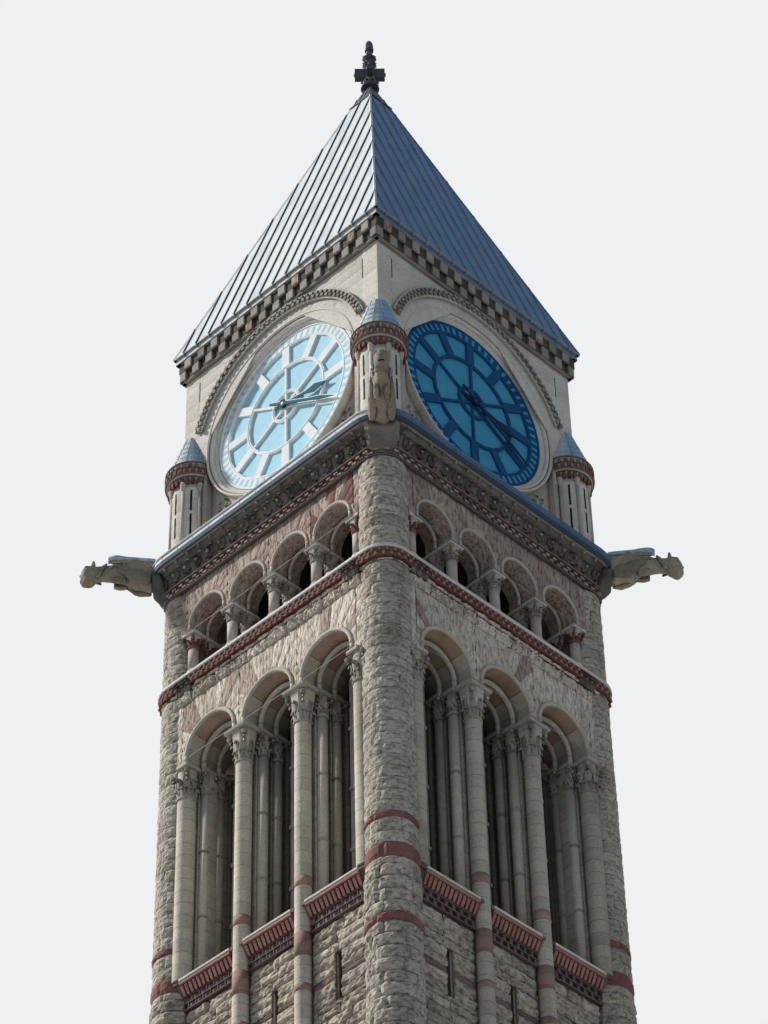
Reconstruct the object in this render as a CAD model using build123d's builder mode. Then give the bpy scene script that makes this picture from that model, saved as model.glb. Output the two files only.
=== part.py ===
from build123d import *
import os
from math import cos, radians, sin, sqrt

os.makedirs("parts", exist_ok=True)

# Clock tower of red and grey stone, a scale model at 1 to 10.
# The origin is on the ground at the tower's axis, with +Z up and the sunny front facing -Y.
# Each size called a face is half of the tower's width there: its distance from the axis.

# The four faces, each by its turn from the front
faces = {"front": 0, "right": 90, "back": 180, "left": 270}
seat = 0.3  # clearance between pieces that are built against each other

# Corner shafts
shaft_axis = 449.2
shaft_radius = 75.5

# Tower shaft below the belfry
lower_height = 5740.0
lower_face = 475.0
inner_face = 335.0
slit_width = 24.0
slit_height = 165.0
slit_drop = 110.0
slit_rise = 1300.0
slit_rows = 4

# Sill course and belfry floor
sill_hole_height = 48.0
sill_flute_height = 40.0
sill_lip_height = 12.0
sill_hole_face = 486.0
sill_flute_face = 505.0
sill_lip_face = 513.0
floor_thickness = 45.0

# Belfry: three bays a face between round columns
bay = 258.0
column_axis = 490.0
column_radius = 26.0
belfry_face = 515.0
belfry_order_height = 810.0
abacus_height = 14.0
abacus_half = 44.0
capital_height = 112.0
capital_top_radius = 41.0
respond_radius = 30.0

# The arches' three rings, and the stepped piers with slim shafts that carry them
ring_depth = 50.0
front_ring_radius = 102.0
middle_ring_radius = 88.0
back_ring_radius = 72.0
front_shaft_radius = 17.0
back_shaft_radius = 14.0
slim_shaft_offset = 6.0  # of a slim shaft's axis from its step, both ways
shaft_sides = 8  # of the slim shafts, the colonnettes and the capitals' bells
impost_spread = 4.0
arch_stilt = 30.0
arch_cover = 160.0

# String course and gallery floor under the arcade
string_foot_height = 14.0
string_band_height = 34.0
string_weathering_height = 20.0
string_foot_face = 521.0
string_face = 535.0

# Arcade: four bays a face on colonnettes set two deep
arcade_bay = 192.0
arcade_back_face = 402.0
arcade_order_height = 190.0
colonnette_radius = 16.8
colonnette_outer_axis = 490.0
colonnette_inner_axis = 427.0
colonnette_foot_half = 23.0
colonnette_foot_height = 24.0
arcade_abacus_height = 9.0
arcade_abacus_half = 28.0
arcade_capital_height = 48.0
arcade_capital_top_radius = 27.0
arcade_respond_inset = 8.0
arcade_stilt = 28.0
arcade_cover = 89.0
arcade_ring_depth = 55.0
arcade_front_radius = 73.0
arcade_back_radius = 61.0

# Main cornice and its metal ledge
dentil_face = 527.0
dentil_height = 34.0
cavetto_height = 84.0
cornice_lip_face = 568.0
cornice_lip_height = 12.0
ledge_face = 575.0
ledge_fascia_height = 30.0
ledge_shoulder_face = 532.0
ledge_shoulder_rise = 50.0
ledge_top_rise = 66.0

# Clock stage
clock_face = 471.3
clock_wall_thickness = 90.0
dial_rise = 500.0
dial_radius = 323.0
recess_margin = 32.0
recess_depth = 27.0
clock_slit_along = 402.0
clock_slit_width = 10.0
clock_slit_height = 96.0
clock_slit_drop = 47.0
archivolt_width = 42.0
hood_width = 33.0
hood_projection = 11.0
hood_cover = 5.0

# Round turrets on the corners of the cornice
turret_radius = 74.0
turret_ring_drop = 115.0
turret_ring_height = 80.0
turret_ring_radius = 92.0
turret_corbel_height = 28.0
turret_roof_radius = 88.0
turret_roof_height = 173.0
turret_roof_slope = 18.5

# Dials: an open metal frame in front of one disc of glass
dial_frame_front = 444.0
dial_frame_thickness = 8.0
dial_glass_thickness = 3.0
rim_width = 46.0
chapter_ring_radius = 184.0
hub_ring_radius = 61.0
ring_width = 12.0
numeral_bar_width = 34.0
spoke_width = 9.0
spoke_count = 6
numeral_count = 12

# Hands on a fixed arbor, with the hour hand behind the minute hand, at twenty past three
arbor_radius = 6.0
hand_clearance = 5.0
hand_thickness = 3.0
boss_radius = 16.0
hour_hand_length = 210.0
hour_hand_width = 16.0
hour_hand_leaf = 36.0
hour_hand_tail = 45.0
hour_hand_turn = 100.0
minute_hand_length = 285.0
minute_hand_width = 13.0
minute_hand_leaf = 15.0
minute_hand_tail = 70.0
minute_hand_turn = 120.0

# Eaves, roof and finial
eaves_height = 89.0
eaves_foot_face = 482.0
eaves_face = 492.0
fascia_face = 500.0
fascia_height = 28.0
roof_foot_face = 507.0
roof_height = 1372.0
roof_top_half = 54.0
roof_thickness = 20.0
cap_flare = 4.0
cap_lip_height = 8.0
cap_height = 121.0
cap_top_half = 14.0
finial_height = 295.0
finial_radius = 35.0
finial_sides = 8
finial_arm_reach = 58.0
finial_arm_width = 22.0
finial_arm_bottom = 62.0
finial_arm_height = 54.0

# Gargoyles at the corners of the cornice, each along its corner's diagonal
gargoyle_reach = 366.0
gargoyle_rise = 32.0
gargoyle_half_width = 36.0
gargoyle_half_height = 50.0
wing_thickness = 9.0


def face_plane(turn, out=0.0):
    """Plane on one face: local x runs along the wall, local y is up, its normal points outwards."""
    outward = Vector(sin(radians(turn)), -cos(radians(turn)), 0)
    along = Vector(cos(radians(turn)), sin(radians(turn)), 0)
    return Plane(origin=outward * out, x_dir=along, z_dir=outward)


def save(part, label):
    """Name one finished piece and write it."""
    part.label = label
    export_step(part, f"parts/{label}.step")


def save_on_faces(part, label):
    """Write the front's piece once for each face, turned about the tower's axis."""
    for name, turn in faces.items():
        save(part.rotate(Axis.Z, turn), f"{label}_{name}")


def shaft_sockets():
    """Cut the round sockets of the corner shafts out of a plan."""
    with GridLocations(2 * shaft_axis, 2 * shaft_axis, 2, 2):
        Circle(shaft_radius + seat, mode=Mode.SUBTRACT)


def column_sockets():
    """Cut the round sockets of the belfry columns out of a plan."""
    with PolarLocations(0, len(faces)):
        with Locations((-bay / 2, -column_axis), (bay / 2, -column_axis)):
            Circle(column_radius + seat, mode=Mode.SUBTRACT)


def wall_plan(outer, inner):
    """Plan of the front wall between two faces, mitred to its neighbours at the shafts."""
    Polygon(
        (-shaft_axis, -outer),
        (shaft_axis, -outer),
        (shaft_axis, -shaft_axis),
        (inner, -inner),
        (-inner, -inner),
        (-shaft_axis, -shaft_axis),
        align=None,
    )
    shaft_sockets()


def arches(centres, spring, radius, foot):
    """Round-headed openings of one size, from the foot up, in a sketch on a face."""
    with Locations(*[(x, spring) for x in centres]):
        Circle(radius)
    with Locations(*[(x, (foot + spring) / 2) for x in centres]):
        Rectangle(2 * radius, spring - foot)


def moulded_course(profile, inner):
    """A course with one profile on all four faces, turned round the corner shafts' axes.

    The profile is a list of (distance from the shafts' axis line, level) from the bottom up.
    """
    bottom, top = profile[0][1], profile[-1][1]
    for turn in faces.values():
        outward = Vector(sin(radians(turn)), -cos(radians(turn)), 0)
        along = Vector(cos(radians(turn)), sin(radians(turn)), 0)
        side = Plane(origin=(outward + along) * shaft_axis, x_dir=outward, z_dir=-along)
        with BuildSketch(side) as straight:
            Polygon((inner - shaft_axis, bottom), *profile, (inner - shaft_axis, top), align=None)
        extrude(straight.sketch, amount=2 * shaft_axis)
        with BuildSketch(side) as corner:
            Polygon((0, bottom), *profile, (0, top), align=None)
        revolve(corner.sketch, axis=Axis(side.origin, (0, 0, 1)), revolution_arc=90)


# Levels from the ground up
sill_bottom = lower_height
sill_top = sill_bottom + sill_hole_height + sill_flute_height + sill_lip_height
abacus_top = sill_top + belfry_order_height
arch_spring = abacus_top + arch_stilt
string_bottom = arch_spring + front_ring_radius + arch_cover
string_top = string_bottom + string_foot_height + string_band_height + string_weathering_height
arcade_abacus_top = string_top + arcade_order_height
arcade_spring = arcade_abacus_top + arcade_stilt
dentil_bottom = arcade_spring + arcade_front_radius + arcade_cover
cavetto_bottom = dentil_bottom + dentil_height
lip_bottom = cavetto_bottom + cavetto_height
cornice_top = lip_bottom + cornice_lip_height
dial_height = cornice_top + dial_rise
turret_ring_bottom = dial_height - turret_ring_drop
turret_ring_top = turret_ring_bottom + turret_ring_height
recess_radius = dial_radius + recess_margin
hood_inner_radius = recess_radius + archivolt_width
hood_outer_radius = hood_inner_radius + hood_width
clock_wall_top = dial_height + hood_outer_radius + hood_cover
fascia_bottom = clock_wall_top + eaves_height
roof_foot = fascia_bottom + fascia_height
roof_top = roof_foot + roof_height
cap_top = roof_top + cap_height


# Corner shafts, from the ground to the cornice
with BuildPart() as corner_shafts:
    with BuildSketch():
        with GridLocations(2 * shaft_axis, 2 * shaft_axis, 2, 2):
            Circle(shaft_radius)
    extrude(amount=dentil_bottom - seat)
save(corner_shafts.part, "corner_shafts")

# Lower walls, with one slit a bay in each row
slit_levels = [lower_height - slit_drop - slit_height / 2 - row * slit_rise for row in range(slit_rows)]
with BuildPart() as lower_wall:
    with BuildSketch():
        wall_plan(lower_face, inner_face)
        column_sockets()
    extrude(amount=lower_height)
    with BuildSketch(face_plane(0, lower_face)):
        with Locations(*[(x, z) for x in (-bay, 0, bay) for z in slit_levels]):
            Rectangle(slit_width, slit_height)
    extrude(amount=inner_face - lower_face, mode=Mode.SUBTRACT)
save_on_faces(lower_wall.part, "lower_wall")

# Round columns, two a face, from the ground to the belfry arches, with eight-sided bells to their capitals
capital_top = abacus_top - abacus_height
capital_bottom = capital_top - capital_height
pier_front = belfry_face - ring_depth


def eight_sided(radius):
    """Plan of a slim shaft, within its radius, with flat sides towards the tower's faces."""
    RegularPolygon(radius, shaft_sides, rotation=180 / shaft_sides)


def bell(bottom_radius, top_radius, bottom, top):
    """Bell of a capital, as wide as its shaft at the bottom."""
    sections = []
    for radius, level in ((bottom_radius, bottom), (top_radius, top)):
        with BuildSketch(Plane.XY.offset(level)) as section:
            eight_sided(radius)
        sections.append(section.sketch)
    loft(sections, ruled=True)


with BuildPart() as column:
    with BuildSketch():
        Circle(column_radius)
    extrude(amount=capital_bottom)
    bell(column_radius, capital_top_radius, capital_bottom, capital_top)
    with BuildSketch(Plane.XY.offset(capital_top)):
        Rectangle(2 * abacus_half, 2 * abacus_half)
    extrude(amount=abacus_height - seat)
    with BuildSketch(Plane.XY.offset(capital_bottom)):
        with Locations((0, column_axis - pier_front - seat)):
            Rectangle(2 * abacus_half, abacus_half, align=(Align.CENTER, Align.MIN))
    extrude(amount=abacus_top - capital_bottom, mode=Mode.SUBTRACT)
with BuildPart() as belfry_columns:
    with PolarLocations(0, len(faces)):
        with Locations((-bay / 2, -column_axis), (bay / 2, -column_axis)):
            add(column.part)
save(belfry_columns.part, "belfry_columns")

# Sill course: a flat band, a leaning band and a lip, broken by the shafts and columns
lean_bottom = sill_bottom + sill_hole_height
lean_top = lean_bottom + sill_flute_height
with BuildPart() as sill_course:
    moulded_course(
        [
            (sill_hole_face - shaft_axis, sill_bottom),
            (sill_hole_face - shaft_axis, lean_bottom),
            (sill_flute_face - shaft_axis, lean_top),
            (sill_lip_face - shaft_axis, lean_top),
            (sill_lip_face - shaft_axis, sill_top),
        ],
        inner_face,
    )
    with BuildSketch(Plane.XY.offset(sill_bottom)):
        with GridLocations(2 * shaft_axis, 2 * shaft_axis, 2, 2):
            Circle(shaft_radius + seat)
        with PolarLocations(0, len(faces)):
            with Locations((-bay / 2, -column_axis), (bay / 2, -column_axis)):
                Circle(column_radius + seat)
    extrude(amount=sill_top - sill_bottom, mode=Mode.SUBTRACT)
save(sill_course.part, "sill_course")

with BuildPart() as belfry_floor:
    with BuildSketch(Plane.XY.offset(sill_top - floor_thickness)):
        Rectangle(2 * (inner_face - seat), 2 * (inner_face - seat))
    extrude(amount=floor_thickness)
save(belfry_floor.part, "belfry_floor")

# Belfry piers: stepped in plan like the arches' rings, with a slim shaft in each step
ring_radii = (front_ring_radius, middle_ring_radius, back_ring_radius)
pier_halves = [bay / 2 - radius for radius in ring_radii]
step_faces = [belfry_face - (step + 1) * ring_depth for step in range(len(ring_radii))]
respond_along = 1.5 * bay
slim_shaft_radii = (front_shaft_radius, back_shaft_radius)


def pier_plan(halves, respond):
    """Plan of the front's stepped piers, and of its responds against the corner shafts."""
    for x in (-respond_along, -bay / 2, bay / 2, respond_along):
        for half, outer in zip(halves, step_faces):
            with Locations((x, -outer)):
                Rectangle(2 * half, outer - inner_face, align=(Align.CENTER, Align.MIN))
    with Locations((-respond_along, -column_axis), (respond_along, -column_axis)):
        Circle(respond)


def slim_shafts():
    """Plan of the slim shafts in the steps of the front's piers."""
    for radius, half, outer in zip(slim_shaft_radii, pier_halves, step_faces):
        aside = half + slim_shaft_offset
        axis = outer - radius - slim_shaft_offset
        for x in (-respond_along, -bay / 2, bay / 2, respond_along):
            with Locations((x - aside, -axis), (x + aside, -axis)):
                eight_sided(radius)


shaft_reaches = [half + slim_shaft_offset + radius for half, radius in zip(pier_halves, slim_shaft_radii)]
impost_halves = [reach + impost_spread for reach in shaft_reaches + shaft_reaches[-1:]]
with BuildPart() as belfry_piers:
    with BuildSketch(Plane.XY.offset(sill_top + seat)):
        with PolarLocations(0, len(faces)):
            pier_plan(pier_halves, respond_radius)
            slim_shafts()
        shaft_sockets()
        column_sockets()
    extrude(amount=capital_top - sill_top - seat)
    with BuildSketch(Plane.XY.offset(capital_top)):
        with PolarLocations(0, len(faces)):
            pier_plan(impost_halves, respond_radius + impost_spread)
        shaft_sockets()
        column_sockets()
    extrude(amount=abacus_height - seat)
save(belfry_piers.part, "belfry_piers")

# Belfry arches: three rings deep, each ring narrower than the one in front
with BuildPart() as belfry_arches:
    with BuildSketch(Plane.XY.offset(abacus_top)):
        wall_plan(belfry_face, inner_face)
    extrude(amount=string_bottom - abacus_top)
    for step, radius in enumerate(ring_radii):
        with BuildSketch(face_plane(0, belfry_face - step * ring_depth)):
            arches((-bay, 0, bay), arch_spring, radius, abacus_top)
        extrude(amount=inner_face - belfry_face, mode=Mode.SUBTRACT)
save_on_faces(belfry_arches.part, "belfry_arches")

# String course, turned round the shafts as collars, with the gallery floor inside it
foot_out = string_foot_face - shaft_axis
band_out = string_face - shaft_axis
band_bottom = string_bottom + string_foot_height
band_top = band_bottom + string_band_height
with BuildPart() as string_course:
    moulded_course(
        [
            (foot_out, string_bottom),
            (foot_out, band_bottom),
            (band_out, band_bottom),
            (band_out, band_top),
            (foot_out, string_top),
        ],
        inner_face,
    )
    with BuildSketch(Plane.XY.offset(string_bottom)):
        with GridLocations(2 * shaft_axis, 2 * shaft_axis, 2, 2):
            Circle(shaft_radius + seat)
    extrude(amount=string_top - string_bottom, mode=Mode.SUBTRACT)
save(string_course.part, "string_course")

with BuildPart() as gallery_floor:
    with BuildSketch(Plane.XY.offset(string_top - floor_thickness)):
        Rectangle(2 * (inner_face - seat), 2 * (inner_face - seat))
    extrude(amount=floor_thickness)
save(gallery_floor.part, "gallery_floor")

# Arcade: colonnettes two deep, and a wall of four arches in two rings over them
colonnette_foot = string_top + seat
colonnette_capital_top = arcade_abacus_top - arcade_abacus_height
colonnette_capital_bottom = colonnette_capital_top - arcade_capital_height
with BuildPart() as colonnette:
    with BuildSketch(Plane.XY.offset(colonnette_foot)):
        Rectangle(2 * colonnette_foot_half, 2 * colonnette_foot_half)
    extrude(amount=colonnette_foot_height)
    with BuildSketch(Plane.XY.offset(colonnette_foot + colonnette_foot_height)):
        eight_sided(colonnette_radius)
    extrude(amount=colonnette_capital_bottom - colonnette_foot - colonnette_foot_height)
    bell(colonnette_radius, arcade_capital_top_radius, colonnette_capital_bottom, colonnette_capital_top)
    with BuildSketch(Plane.XY.offset(colonnette_capital_top)):
        Rectangle(2 * arcade_abacus_half, 2 * arcade_abacus_half)
    extrude(amount=arcade_abacus_height - seat)
arcade_respond_along = 2 * arcade_bay - arcade_respond_inset
arcade_columns = (-arcade_respond_along, -arcade_bay, 0, arcade_bay, arcade_respond_along)
for row_name, row_axis in (("outer", colonnette_outer_axis), ("inner", colonnette_inner_axis)):
    with BuildPart() as colonnette_row:
        with PolarLocations(0, len(faces)):
            with Locations(*[(x, -row_axis) for x in arcade_columns]):
                add(colonnette.part)
        with BuildSketch(Plane.XY.offset(string_top)):
            with GridLocations(2 * shaft_axis, 2 * shaft_axis, 2, 2):
                Circle(shaft_radius + seat)
        extrude(amount=arcade_abacus_top - string_top, mode=Mode.SUBTRACT)
    save(colonnette_row.part, f"arcade_colonnettes_{row_name}")

with BuildPart() as arcade_wall:
    with BuildSketch(Plane.XY.offset(arcade_abacus_top)):
        wall_plan(belfry_face, arcade_back_face)
    extrude(amount=dentil_bottom - arcade_abacus_top)
    for step, radius in enumerate((arcade_front_radius, arcade_back_radius)):
        with BuildSketch(face_plane(0, belfry_face - step * arcade_ring_depth)):
            arches([(k - 1.5) * arcade_bay for k in range(4)], arcade_spring, radius, arcade_abacus_top)
        extrude(amount=arcade_back_face - belfry_face, mode=Mode.SUBTRACT)
save_on_faces(arcade_wall.part, "arcade_wall")

# Main cornice: a dentil course, a hollow carved with leaves, and a stone lip
cavetto_steps = 5
dentil_out = dentil_face - shaft_axis
lip_out = cornice_lip_face - shaft_axis
cavetto = [
    (
        lip_out - (lip_out - dentil_out) * cos(radians(90 * k / cavetto_steps)),
        cavetto_bottom + cavetto_height * sin(radians(90 * k / cavetto_steps)),
    )
    for k in range(cavetto_steps + 1)
]
with BuildPart() as main_cornice:
    moulded_course(
        [(dentil_out, dentil_bottom)] + cavetto + [(lip_out, cornice_top)],
        clock_face - clock_wall_thickness,
    )
save(main_cornice.part, "main_cornice")

with BuildPart() as clock_room_floor:
    with BuildSketch(Plane.XY.offset(cornice_top - floor_thickness)):
        Rectangle(*[2 * (clock_face - clock_wall_thickness - seat)] * 2)
    extrude(amount=floor_thickness)
save(clock_room_floor.part, "clock_room_floor")

# Metal ledge: a fascia and a steep slope up to the clock stage, round the turrets
ledge_bottom = cornice_top
ledge_out = ledge_face - shaft_axis
shoulder_out = ledge_shoulder_face - shaft_axis
shoulder_level = ledge_bottom + ledge_fascia_height + ledge_shoulder_rise
with BuildPart() as cornice_ledge:
    moulded_course(
        [
            (ledge_out, ledge_bottom),
            (ledge_out, ledge_bottom + ledge_fascia_height),
            (shoulder_out, shoulder_level),
            (clock_face + seat - shaft_axis, ledge_bottom + ledge_fascia_height + ledge_top_rise),
        ],
        clock_face + seat,
    )
    with BuildSketch(Plane.XY.offset(ledge_bottom)):
        Rectangle(2 * (clock_face + seat), 2 * (clock_face + seat))
        with GridLocations(2 * shaft_axis, 2 * shaft_axis, 2, 2):
            Circle(turret_radius + seat)
    extrude(amount=2 * ledge_top_rise, mode=Mode.SUBTRACT)
save(cornice_ledge.part, "cornice_ledge")

# Clock walls, each with an arched recess and a round opening behind the dial
clock_inner = clock_face - clock_wall_thickness
with BuildPart() as clock_wall:
    with BuildSketch(Plane.XY.offset(cornice_top)):
        Polygon(
            (-clock_face, -clock_face),
            (clock_face, -clock_face),
            (clock_inner, -clock_inner),
            (-clock_inner, -clock_inner),
            align=None,
        )
    extrude(amount=clock_wall_top - cornice_top)
    with BuildSketch(Plane.XY.offset(cornice_top)):
        with GridLocations(2 * shaft_axis, 2 * shaft_axis, 2, 2):
            Circle(turret_radius + seat)
    extrude(amount=turret_ring_bottom + seat - cornice_top, mode=Mode.SUBTRACT)
    with BuildSketch(face_plane(0, clock_face)):
        arches((0,), dial_height, recess_radius, cornice_top)
    extrude(amount=-recess_depth, mode=Mode.SUBTRACT)
    with BuildSketch(face_plane(0, clock_face)):
        with Locations((0, dial_height)):
            Circle(dial_radius + seat)
    extrude(amount=-clock_wall_thickness, mode=Mode.SUBTRACT)
    with BuildSketch(face_plane(0, clock_face)):
        with Locations(*[(side * clock_slit_along, clock_wall_top - clock_slit_drop) for side in (-1, 1)]):
            Rectangle(clock_slit_width, clock_slit_height, align=(Align.CENTER, Align.MAX))
    extrude(amount=-recess_depth, mode=Mode.SUBTRACT)
save_on_faces(clock_wall.part, "clock_wall")

# Round corner turrets, each with a corbelled ring and a conical stone roof against the corner
with BuildPart() as turret:
    with BuildSketch(Plane.XZ):
        Polygon(
            (0, cornice_top + seat),
            (turret_radius, cornice_top + seat),
            (turret_radius, turret_ring_bottom),
            (turret_ring_radius, turret_ring_bottom + turret_corbel_height),
            (turret_ring_radius, turret_ring_top),
            (0, turret_ring_top),
            align=None,
        )
    revolve(axis=Axis.Z)
with BuildPart() as turrets:
    with GridLocations(2 * shaft_axis, 2 * shaft_axis, 2, 2):
        add(turret.part)
    with BuildSketch(Plane.XY.offset(turret_ring_bottom)):
        Rectangle(2 * (clock_face + seat), 2 * (clock_face + seat))
    extrude(amount=turret_ring_height, mode=Mode.SUBTRACT)
save(turrets.part, "turrets")

with BuildPart() as turret_roofs:
    with BuildSketch(Plane.XY.offset(turret_ring_top + seat)):
        with GridLocations(2 * shaft_axis, 2 * shaft_axis, 2, 2):
            Circle(turret_roof_radius)
    extrude(amount=turret_roof_height, taper=turret_roof_slope)
    with BuildSketch(Plane.XY.offset(turret_ring_top)):
        Rectangle(2 * (clock_face + seat), 2 * (clock_face + seat))
    extrude(amount=2 * turret_roof_height, mode=Mode.SUBTRACT)
save(turret_roofs.part, "turret_roofs")

# Hood moulds over the dials, down to the tops of the turret roofs
hood_foot = turret_ring_top + seat + turret_roof_height
with BuildPart() as dial_hood:
    with BuildSketch(face_plane(0, clock_face + seat)):
        with Locations((0, dial_height)):
            Circle(hood_outer_radius)
            Circle(hood_inner_radius, mode=Mode.SUBTRACT)
        with Locations((0, hood_foot)):
            Rectangle(2 * clock_face, 2 * clock_face, align=(Align.CENTER, Align.MAX), mode=Mode.SUBTRACT)
    extrude(amount=hood_projection)
with BuildPart() as dial_hoods:
    with PolarLocations(0, len(faces)):
        add(dial_hood.part)
save(dial_hoods.part, "dial_hoods")

# Dials: a rim, two rings, twelve numeral bars and six spokes, with a disc of glass behind
rim_inner_radius = dial_radius - rim_width
numeral_mid = (rim_inner_radius + chapter_ring_radius) / 2
numeral_length = rim_inner_radius - chapter_ring_radius
ring_sides = 2 * numeral_count
with BuildPart() as dial_frame:
    with BuildSketch(face_plane(0, dial_frame_front).offset(-dial_frame_thickness)):
        with Locations((0, dial_height)):
            Circle(dial_radius)
            RegularPolygon(rim_inner_radius, ring_sides, mode=Mode.SUBTRACT)
            for radius in (chapter_ring_radius, hub_ring_radius):
                RegularPolygon(radius + ring_width / 2, ring_sides)
                RegularPolygon(radius - ring_width / 2, ring_sides, mode=Mode.SUBTRACT)
            with PolarLocations(numeral_mid, numeral_count):
                Rectangle(numeral_length + ring_width, numeral_bar_width)
            with PolarLocations(chapter_ring_radius / 2, spoke_count, start_angle=90):
                Rectangle(chapter_ring_radius, spoke_width)
            RegularPolygon(boss_radius, numeral_count)
    extrude(amount=dial_frame_thickness)
    with BuildSketch(face_plane(0, dial_frame_front)):
        with Locations((0, dial_height)):
            Circle(arbor_radius)
    extrude(amount=2 * (hand_clearance + hand_thickness) + seat)
with BuildPart() as dial_frames:
    with PolarLocations(0, len(faces)):
        add(dial_frame.part)
save(dial_frames.part, "dial_frames")

glass_front = dial_frame_front - dial_frame_thickness - seat
with BuildPart() as dial_glass:
    for turn in faces.values():
        with BuildSketch(face_plane(turn, glass_front)):
            with Locations((0, dial_height)):
                Circle(dial_radius)
        extrude(amount=-dial_glass_thickness)
save(dial_glass.part, "dial_glass")

# Hands, each a boss on the arbor with a tapered blade, a leaf towards its tip and a tail
hour_back = dial_frame_front + hand_clearance
minute_back = hour_back + hand_thickness + hand_clearance


def hand(length, width, leaf, tail, turn, back):
    """One hand at its turn from twelve o'clock, with its back at one distance from the tower's axis."""
    stem = width / 3
    with BuildSketch(face_plane(0, back)) as outline:
        with Locations(Location((0, dial_height), -turn)):
            Polygon(
                (-stem, -tail),
                (stem, -tail),
                (width / 2, 0),
                (stem, length / 2),
                (leaf / 2, 0.7 * length),
                (0, length),
                (-leaf / 2, 0.7 * length),
                (-stem, length / 2),
                (-width / 2, 0),
                align=None,
            )
            RegularPolygon(boss_radius, numeral_count)
            Circle(arbor_radius + seat, mode=Mode.SUBTRACT)
    extrude(outline.sketch, amount=hand_thickness)


with BuildPart() as hour_hand:
    hand(hour_hand_length, hour_hand_width, hour_hand_leaf, hour_hand_tail, hour_hand_turn, hour_back)
save_on_faces(hour_hand.part, "hour_hand")

with BuildPart() as minute_hand:
    hand(
        minute_hand_length,
        minute_hand_width,
        minute_hand_leaf,
        minute_hand_tail,
        minute_hand_turn,
        minute_back,
    )
save_on_faces(minute_hand.part, "minute_hand")

# Eaves cornice in two courses under the metal fascia
with BuildPart() as eaves_cornice:
    for face, bottom in ((eaves_foot_face, clock_wall_top), (eaves_face, clock_wall_top + eaves_height / 2)):
        with BuildSketch(Plane.XY.offset(bottom)):
            Rectangle(2 * face, 2 * face)
            Rectangle(2 * clock_inner, 2 * clock_inner, mode=Mode.SUBTRACT)
        extrude(amount=eaves_height / 2)
save(eaves_cornice.part, "eaves_cornice")

# Pyramid roof of sheet metal on a hollow timber form, over a thin fascia
roof_slope = (roof_foot_face - roof_top_half) / roof_height
hollow_top = roof_top - 3 * roof_thickness
hollow_top_half = roof_top_half + 3 * roof_thickness * roof_slope - roof_thickness
with BuildPart() as roof:
    with BuildSketch(Plane.XY.offset(fascia_bottom)):
        Rectangle(2 * fascia_face, 2 * fascia_face)
    extrude(amount=fascia_height)
    for half, level in ((roof_foot_face, roof_foot), (roof_top_half, roof_top)):
        with BuildSketch(Plane.XY.offset(level)):
            Rectangle(2 * half, 2 * half)
    loft(ruled=True)
    for half, level in ((fascia_face - roof_thickness, fascia_bottom), (hollow_top_half, hollow_top)):
        with BuildSketch(Plane.XY.offset(level)):
            Rectangle(2 * half, 2 * half)
    loft(ruled=True, mode=Mode.SUBTRACT)
save(roof.part, "roof")

# Metal cap that closes the roof, and the finial on it: a bell, cross arms, two collars and a knob
finial_profile = (
    (1.0, 0.0),
    (0.95, 0.1),
    (0.6, 0.24),
    (0.42, 0.44),
    (0.8, 0.5),
    (0.42, 0.53),
    (0.45, 0.58),
    (0.8, 0.63),
    (0.38, 0.66),
    (0.35, 0.79),
    (0.5, 0.81),
    (0.45, 0.92),
    (0.2, 1.0),
)
with BuildPart() as finial:
    with BuildSketch(Plane.XY.offset(roof_top + seat)):
        Rectangle(2 * (roof_top_half + cap_flare), 2 * (roof_top_half + cap_flare))
    extrude(amount=cap_lip_height - seat)
    for half, level in ((roof_top_half, roof_top + cap_lip_height), (cap_top_half, cap_top)):
        with BuildSketch(Plane.XY.offset(level)):
            Rectangle(2 * half, 2 * half)
    loft(ruled=True)
    for share, rise in finial_profile:
        with BuildSketch(Plane.XY.offset(cap_top + rise * finial_height)):
            RegularPolygon(share * finial_radius, finial_sides)
    loft(ruled=True)
    for turn in (45, 135):
        with BuildSketch(Plane.XY.offset(cap_top + finial_arm_bottom)):
            Rectangle(2 * finial_arm_reach, finial_arm_width, rotation=turn)
        extrude(amount=finial_arm_height)
save(finial.part, "finial")

# Room that the cornice and the ledge take at a corner, with their clearance
with BuildPart() as cornice_room:
    with BuildSketch(Plane.XZ):
        Polygon(
            (0, dentil_bottom - dentil_height),
            (dentil_out + seat, dentil_bottom - dentil_height),
            (dentil_out + seat, cavetto_bottom),
            (lip_out + seat, lip_bottom),
            (lip_out + seat, cornice_top - seat),
            (ledge_out + seat, cornice_top - seat),
            (ledge_out + seat, ledge_bottom + ledge_fascia_height + seat),
            (shoulder_out + seat, shoulder_level + seat),
            (0, shoulder_level + ledge_shoulder_rise),
            align=None,
        )
    revolve(axis=Axis.Z)

# Gargoyles: each row gives a share of the reach, a rise, and shares of half the width and of half the height
gargoyle_body = (
    (0.18, -0.7, 0.9, 1.7),
    (0.34, 0.1, 1.0, 1.05),
    (0.5, 0.0, 1.1, 1.05),
    (0.67, 0.15, 0.85, 0.85),
    (0.8, 0.05, 0.56, 0.5),
    (0.9, 0.05, 0.54, 0.48),
)
gargoyle_head = (
    (0.885, 0.1, 0.62, 0.62),
    (0.95, 0.05, 0.58, 0.62),
    (1.0, -0.15, 0.35, 0.3),
)
shaft_diagonal = shaft_axis * sqrt(2)
gargoyle_level = cornice_top + gargoyle_rise


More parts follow.
